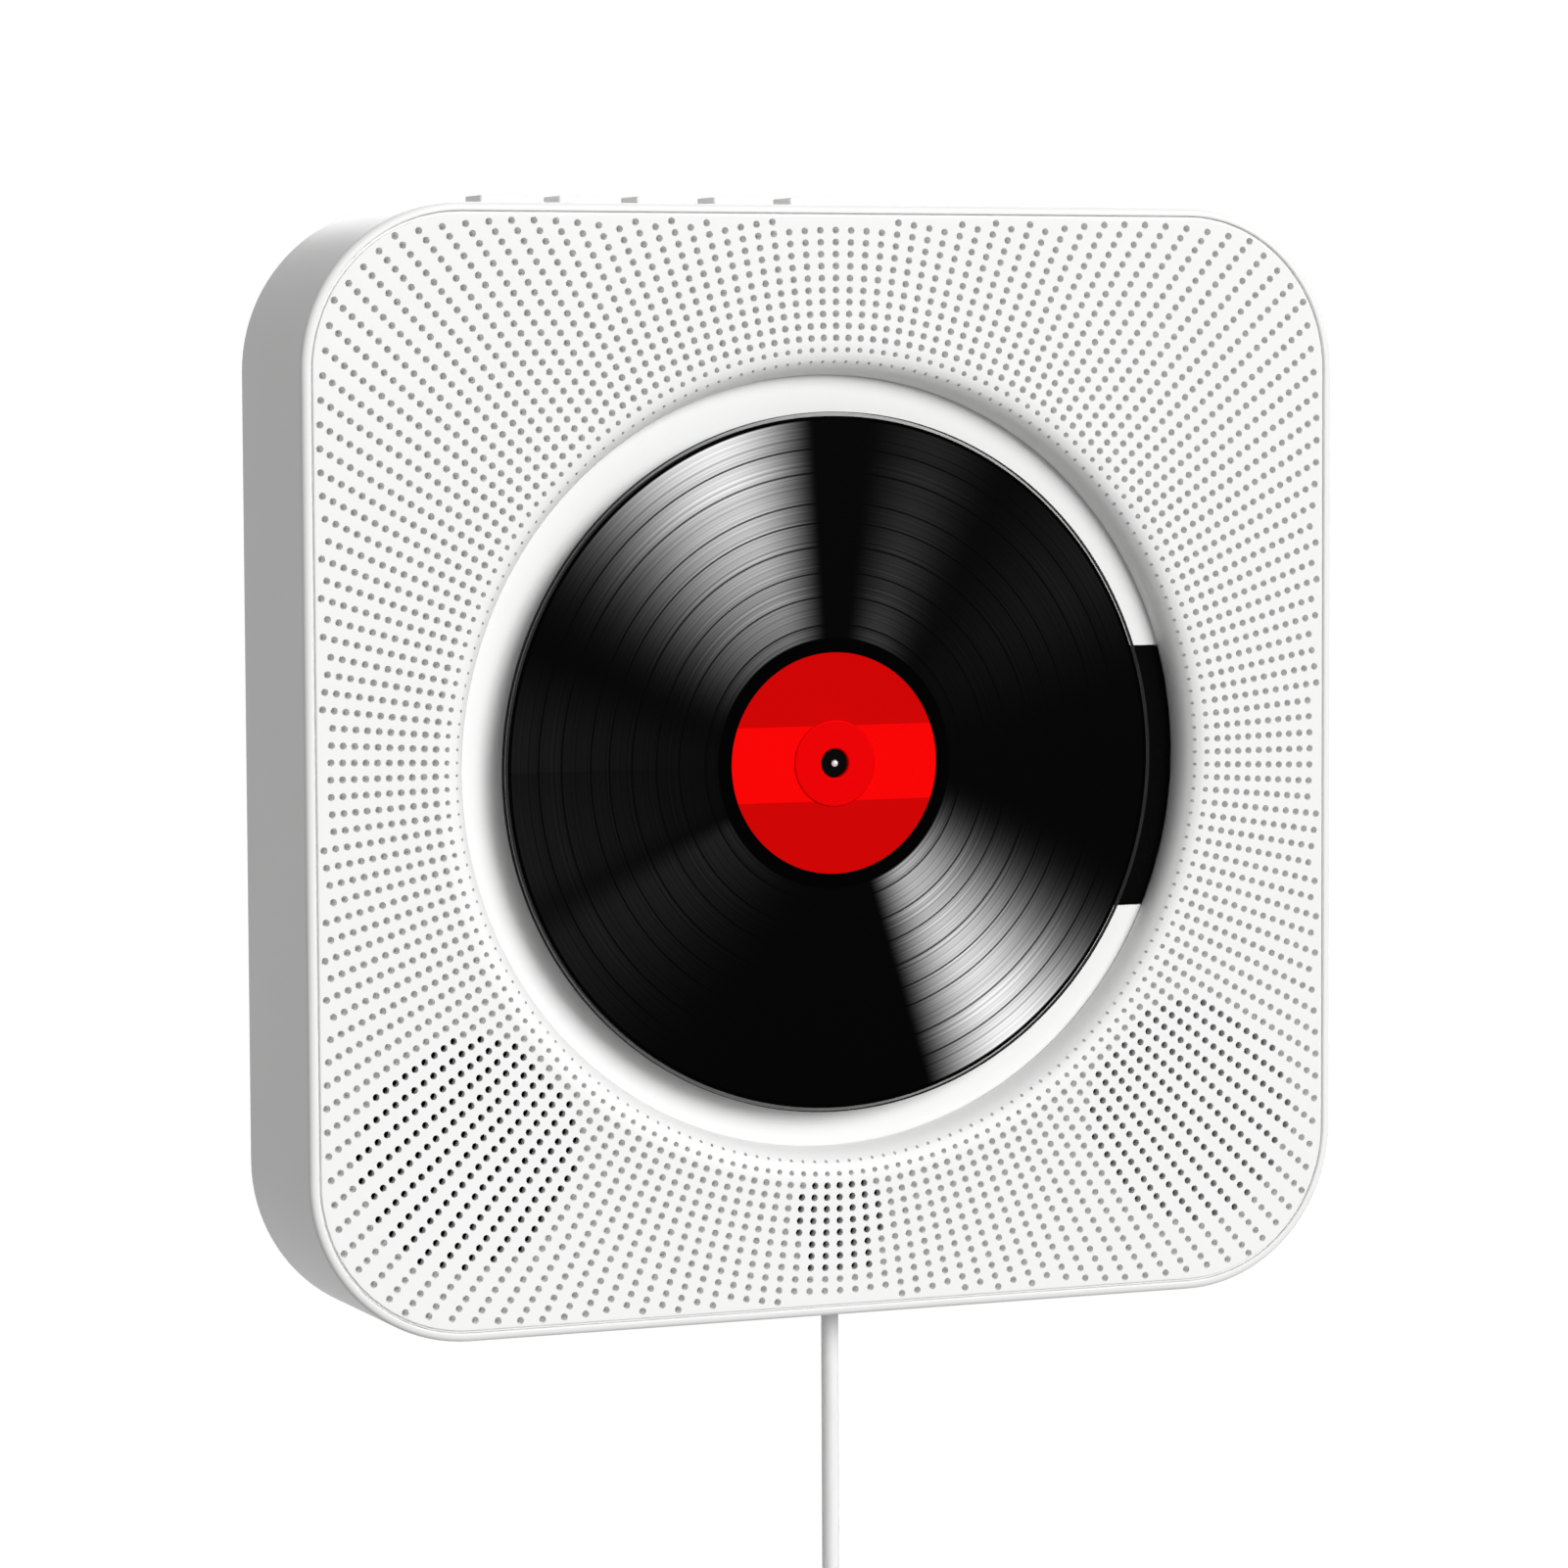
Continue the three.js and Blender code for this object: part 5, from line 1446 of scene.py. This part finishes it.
class PLAYER_OT_sockets(bpy.types.Operator):
    """Models the power and audio sockets with their metal contacts"""
    bl_idname = "cd_player.make_sockets"
    bl_label = "Sockets"

    def execute(self, context):
        for node, (nose, bore, depth) in SOCKETS.items():
            socket = Extent(node)
            place = (0, socket_axis(socket), socket.z)
            self.make_housing(node, socket, place, nose, bore, depth)
            self.make_sleeve(node, place, bore)
        self.make_pin()
        return {"FINISHED"}

    def make_housing(self, node, socket, place, nose, bore, depth):
        """Box with a round nose and a blind bore"""
        edge = 0.25 * MM
        box_edge = 0.2 * MM
        box_inset = 7 * MM
        margin = 1 * MM
        box_right = HALF - box_inset
        box = soften(block(socket.low, (box_right, socket.high.y, socket.high.z)), box_edge)
        start = box_right - margin
        front = turned([
            (0, start), (nose, start), *arc(nose - edge, HALF - edge, edge, 0, 1, steps=3), (0, HALF),
        ], place, SIDEWAYS)
        mesh = carve(box, front, "UNION")
        mesh = carve(mesh, rod(SIDEWAYS, HALF - depth, HALF + margin, bore, place))
        add_piece(f"{node}_moulding", mesh, node, "black_plastic")

    def make_sleeve(self, node, place, bore):
        """Metal lining of the bore's mouth"""
        wall = 0.2 * MM
        rim_inset = 0.4 * MM
        lip_inset = 0.6 * MM
        end_inset = 3 * MM
        inner = bore - wall
        end = HALF - end_inset
        sleeve = turned(
            [(bore, end), (bore, HALF - rim_inset), (inner, HALF - lip_inset), (inner, end)], place, SIDEWAYS,
        )
        add_piece(f"{node}_sleeve", sleeve, node, "steel", replace=False)

    def make_pin(self):
        """Round contact in the middle of the power socket"""
        socket = Extent("power_socket")
        radius = 1 * MM
        end_inset = 9.5 * MM
        end = HALF - end_inset
        tip = arc(0, HALF - 2 * radius, radius, 1, 0)
        place = (0, socket_axis(socket), socket.z)
        mesh = turned([*tip, (radius, end), (0, end)], place, SIDEWAYS, steps=32)
        add_piece("power_socket_pin", mesh, "power_socket", "steel", replace=False)


class PLAYER_OT_bushing(bpy.types.Operator):
    """Models the bushing that the cord runs through"""
    bl_idname = "cd_player.make_bushing"
    bl_label = "Cord bushing"

    def execute(self, context):
        bushing = Extent("cord_bushing")
        bore = 1.8 * MM
        edge = 0.3 * MM
        nose = 2.4 * MM
        rim = context.scene.cd_player.shell.bushing
        bottom = bushing.low.z + edge
        inner = bushing.low.z + nose
        mesh = turned([
            (bore, bushing.high.z), *arc(bore + edge, bottom, edge, 2, 3),
            *arc(rim - edge, bottom, edge, 3, 4), (rim, inner), (bushing.radius, inner),
            (bushing.radius, bushing.high.z),
        ], (bushing.x, bushing.y, 0), UPRIGHT)
        add_piece("cord_bushing_moulding", mesh, "cord_bushing", "white_shell")
        return {"FINISHED"}


# Rear cover, screws, pads and bracket

class PLAYER_OT_rear(bpy.types.Operator):
    """Finishes the rear cover, its screws, the pads and the wall bracket"""
    bl_idname = "cd_player.make_rear"
    bl_label = "Rear"

    def execute(self, context):
        cover_edge = 0.25 * MM
        bracket_edge = 0.3 * MM
        cover = refined("rear_cover", cover_edge)
        add_piece("rear_cover_moulding", cover, "rear_cover", "white_shell")
        for node in COVER_SCREWS:
            self.make_screw(node)
        for node in ("wall_pad_left", "wall_pad_right"):
            self.make_pad(node)
        bracket = refined("wall_bracket", bracket_edge)
        add_piece("wall_bracket_pressing", bracket, "wall_bracket", "zinc_plate")
        return {"FINISHED"}

    def make_screw(self, node):
        screw = Extent(node)
        x = screw.x
        z = screw.z
        head = screw.radius
        shank = 1.2 * MM
        point_share = 0.4
        rim = 0.5 * MM
        crown = 0.9 * MM
        under = screw.back - crown - rim
        mesh = turned([
            (0, screw.front), (shank * point_share, screw.front), (shank, screw.front + shank),
            (shank, under), (head, under), (head, under + rim),
            *arc(head - crown, screw.back - crown, crown, 0, 1, steps=5), (0, screw.back),
        ], (x, FRONT, z), steps=40)
        arm = 1.5 * MM
        slit = 0.28 * MM
        bottom = screw.high.y - crown
        top = screw.high.y + OVERRUN
        for across, along in ((arm, slit), (slit, arm)):
            mesh = carve(mesh, block((x - across, bottom, z - along), (x + across, top, z + along)))
        add_piece(f"{node}_steel", mesh, node, "steel")

    def make_pad(self, node):
        pad = Extent(node)
        edge = 0.8 * MM
        dish = 0.3 * MM
        dish_rim_share = 0.6
        dish_floor_share = 0.55
        mesh = turned([
            (0, pad.front), (pad.radius, pad.front), *arc(pad.radius - edge, pad.back - edge, edge, 0, 1),
            (pad.radius * dish_rim_share, pad.back), (pad.radius * dish_floor_share, pad.back - dish),
            (0, pad.back - dish),
        ], (pad.x, FRONT, pad.z), steps=64)
        add_piece(f"{node}_rubber", mesh, node, "black_rubber")


class PLAYER_PT_panel(bpy.types.Panel):
    """Lists the makers of the CD player's pieces"""
    bl_idname = "PLAYER_PT_panel"
    bl_label = "CD Player"
    bl_space_type = "VIEW_3D"
    bl_region_type = "UI"
    bl_category = "CD Player"

    def draw(self, context):
        for maker in MAKERS:
            self.layout.operator(maker.bl_idname)


SETTINGS = (
    ShellSettings, GrilleSettings, DiscSettings, StageSettings, ColourSettings, PlayerSettings,
)
MAKERS = (
    PLAYER_OT_stage, PLAYER_OT_finishes, PLAYER_OT_cord, PLAYER_OT_shell, PLAYER_OT_grille, PLAYER_OT_tray,
    PLAYER_OT_drive, PLAYER_OT_disc, PLAYER_OT_spindle, PLAYER_OT_buttons, PLAYER_OT_sockets,
    PLAYER_OT_bushing, PLAYER_OT_rear,
)


def register():
    for item in (*SETTINGS, *MAKERS, PLAYER_PT_panel):
        bpy.utils.register_class(item)
    bpy.types.Scene.cd_player = bpy.props.PointerProperty(type=PlayerSettings)


def unregister():
    del bpy.types.Scene.cd_player
    for item in reversed((*SETTINGS, *MAKERS, PLAYER_PT_panel)):
        bpy.utils.unregister_class(item)


def main():
    register()
    bpy.context.scene.view_settings.view_transform = "Standard"
    for maker in MAKERS:
        family, name = maker.bl_idname.split(".")
        getattr(getattr(bpy.ops, family), name)()


if __name__ == "__main__":
    main()
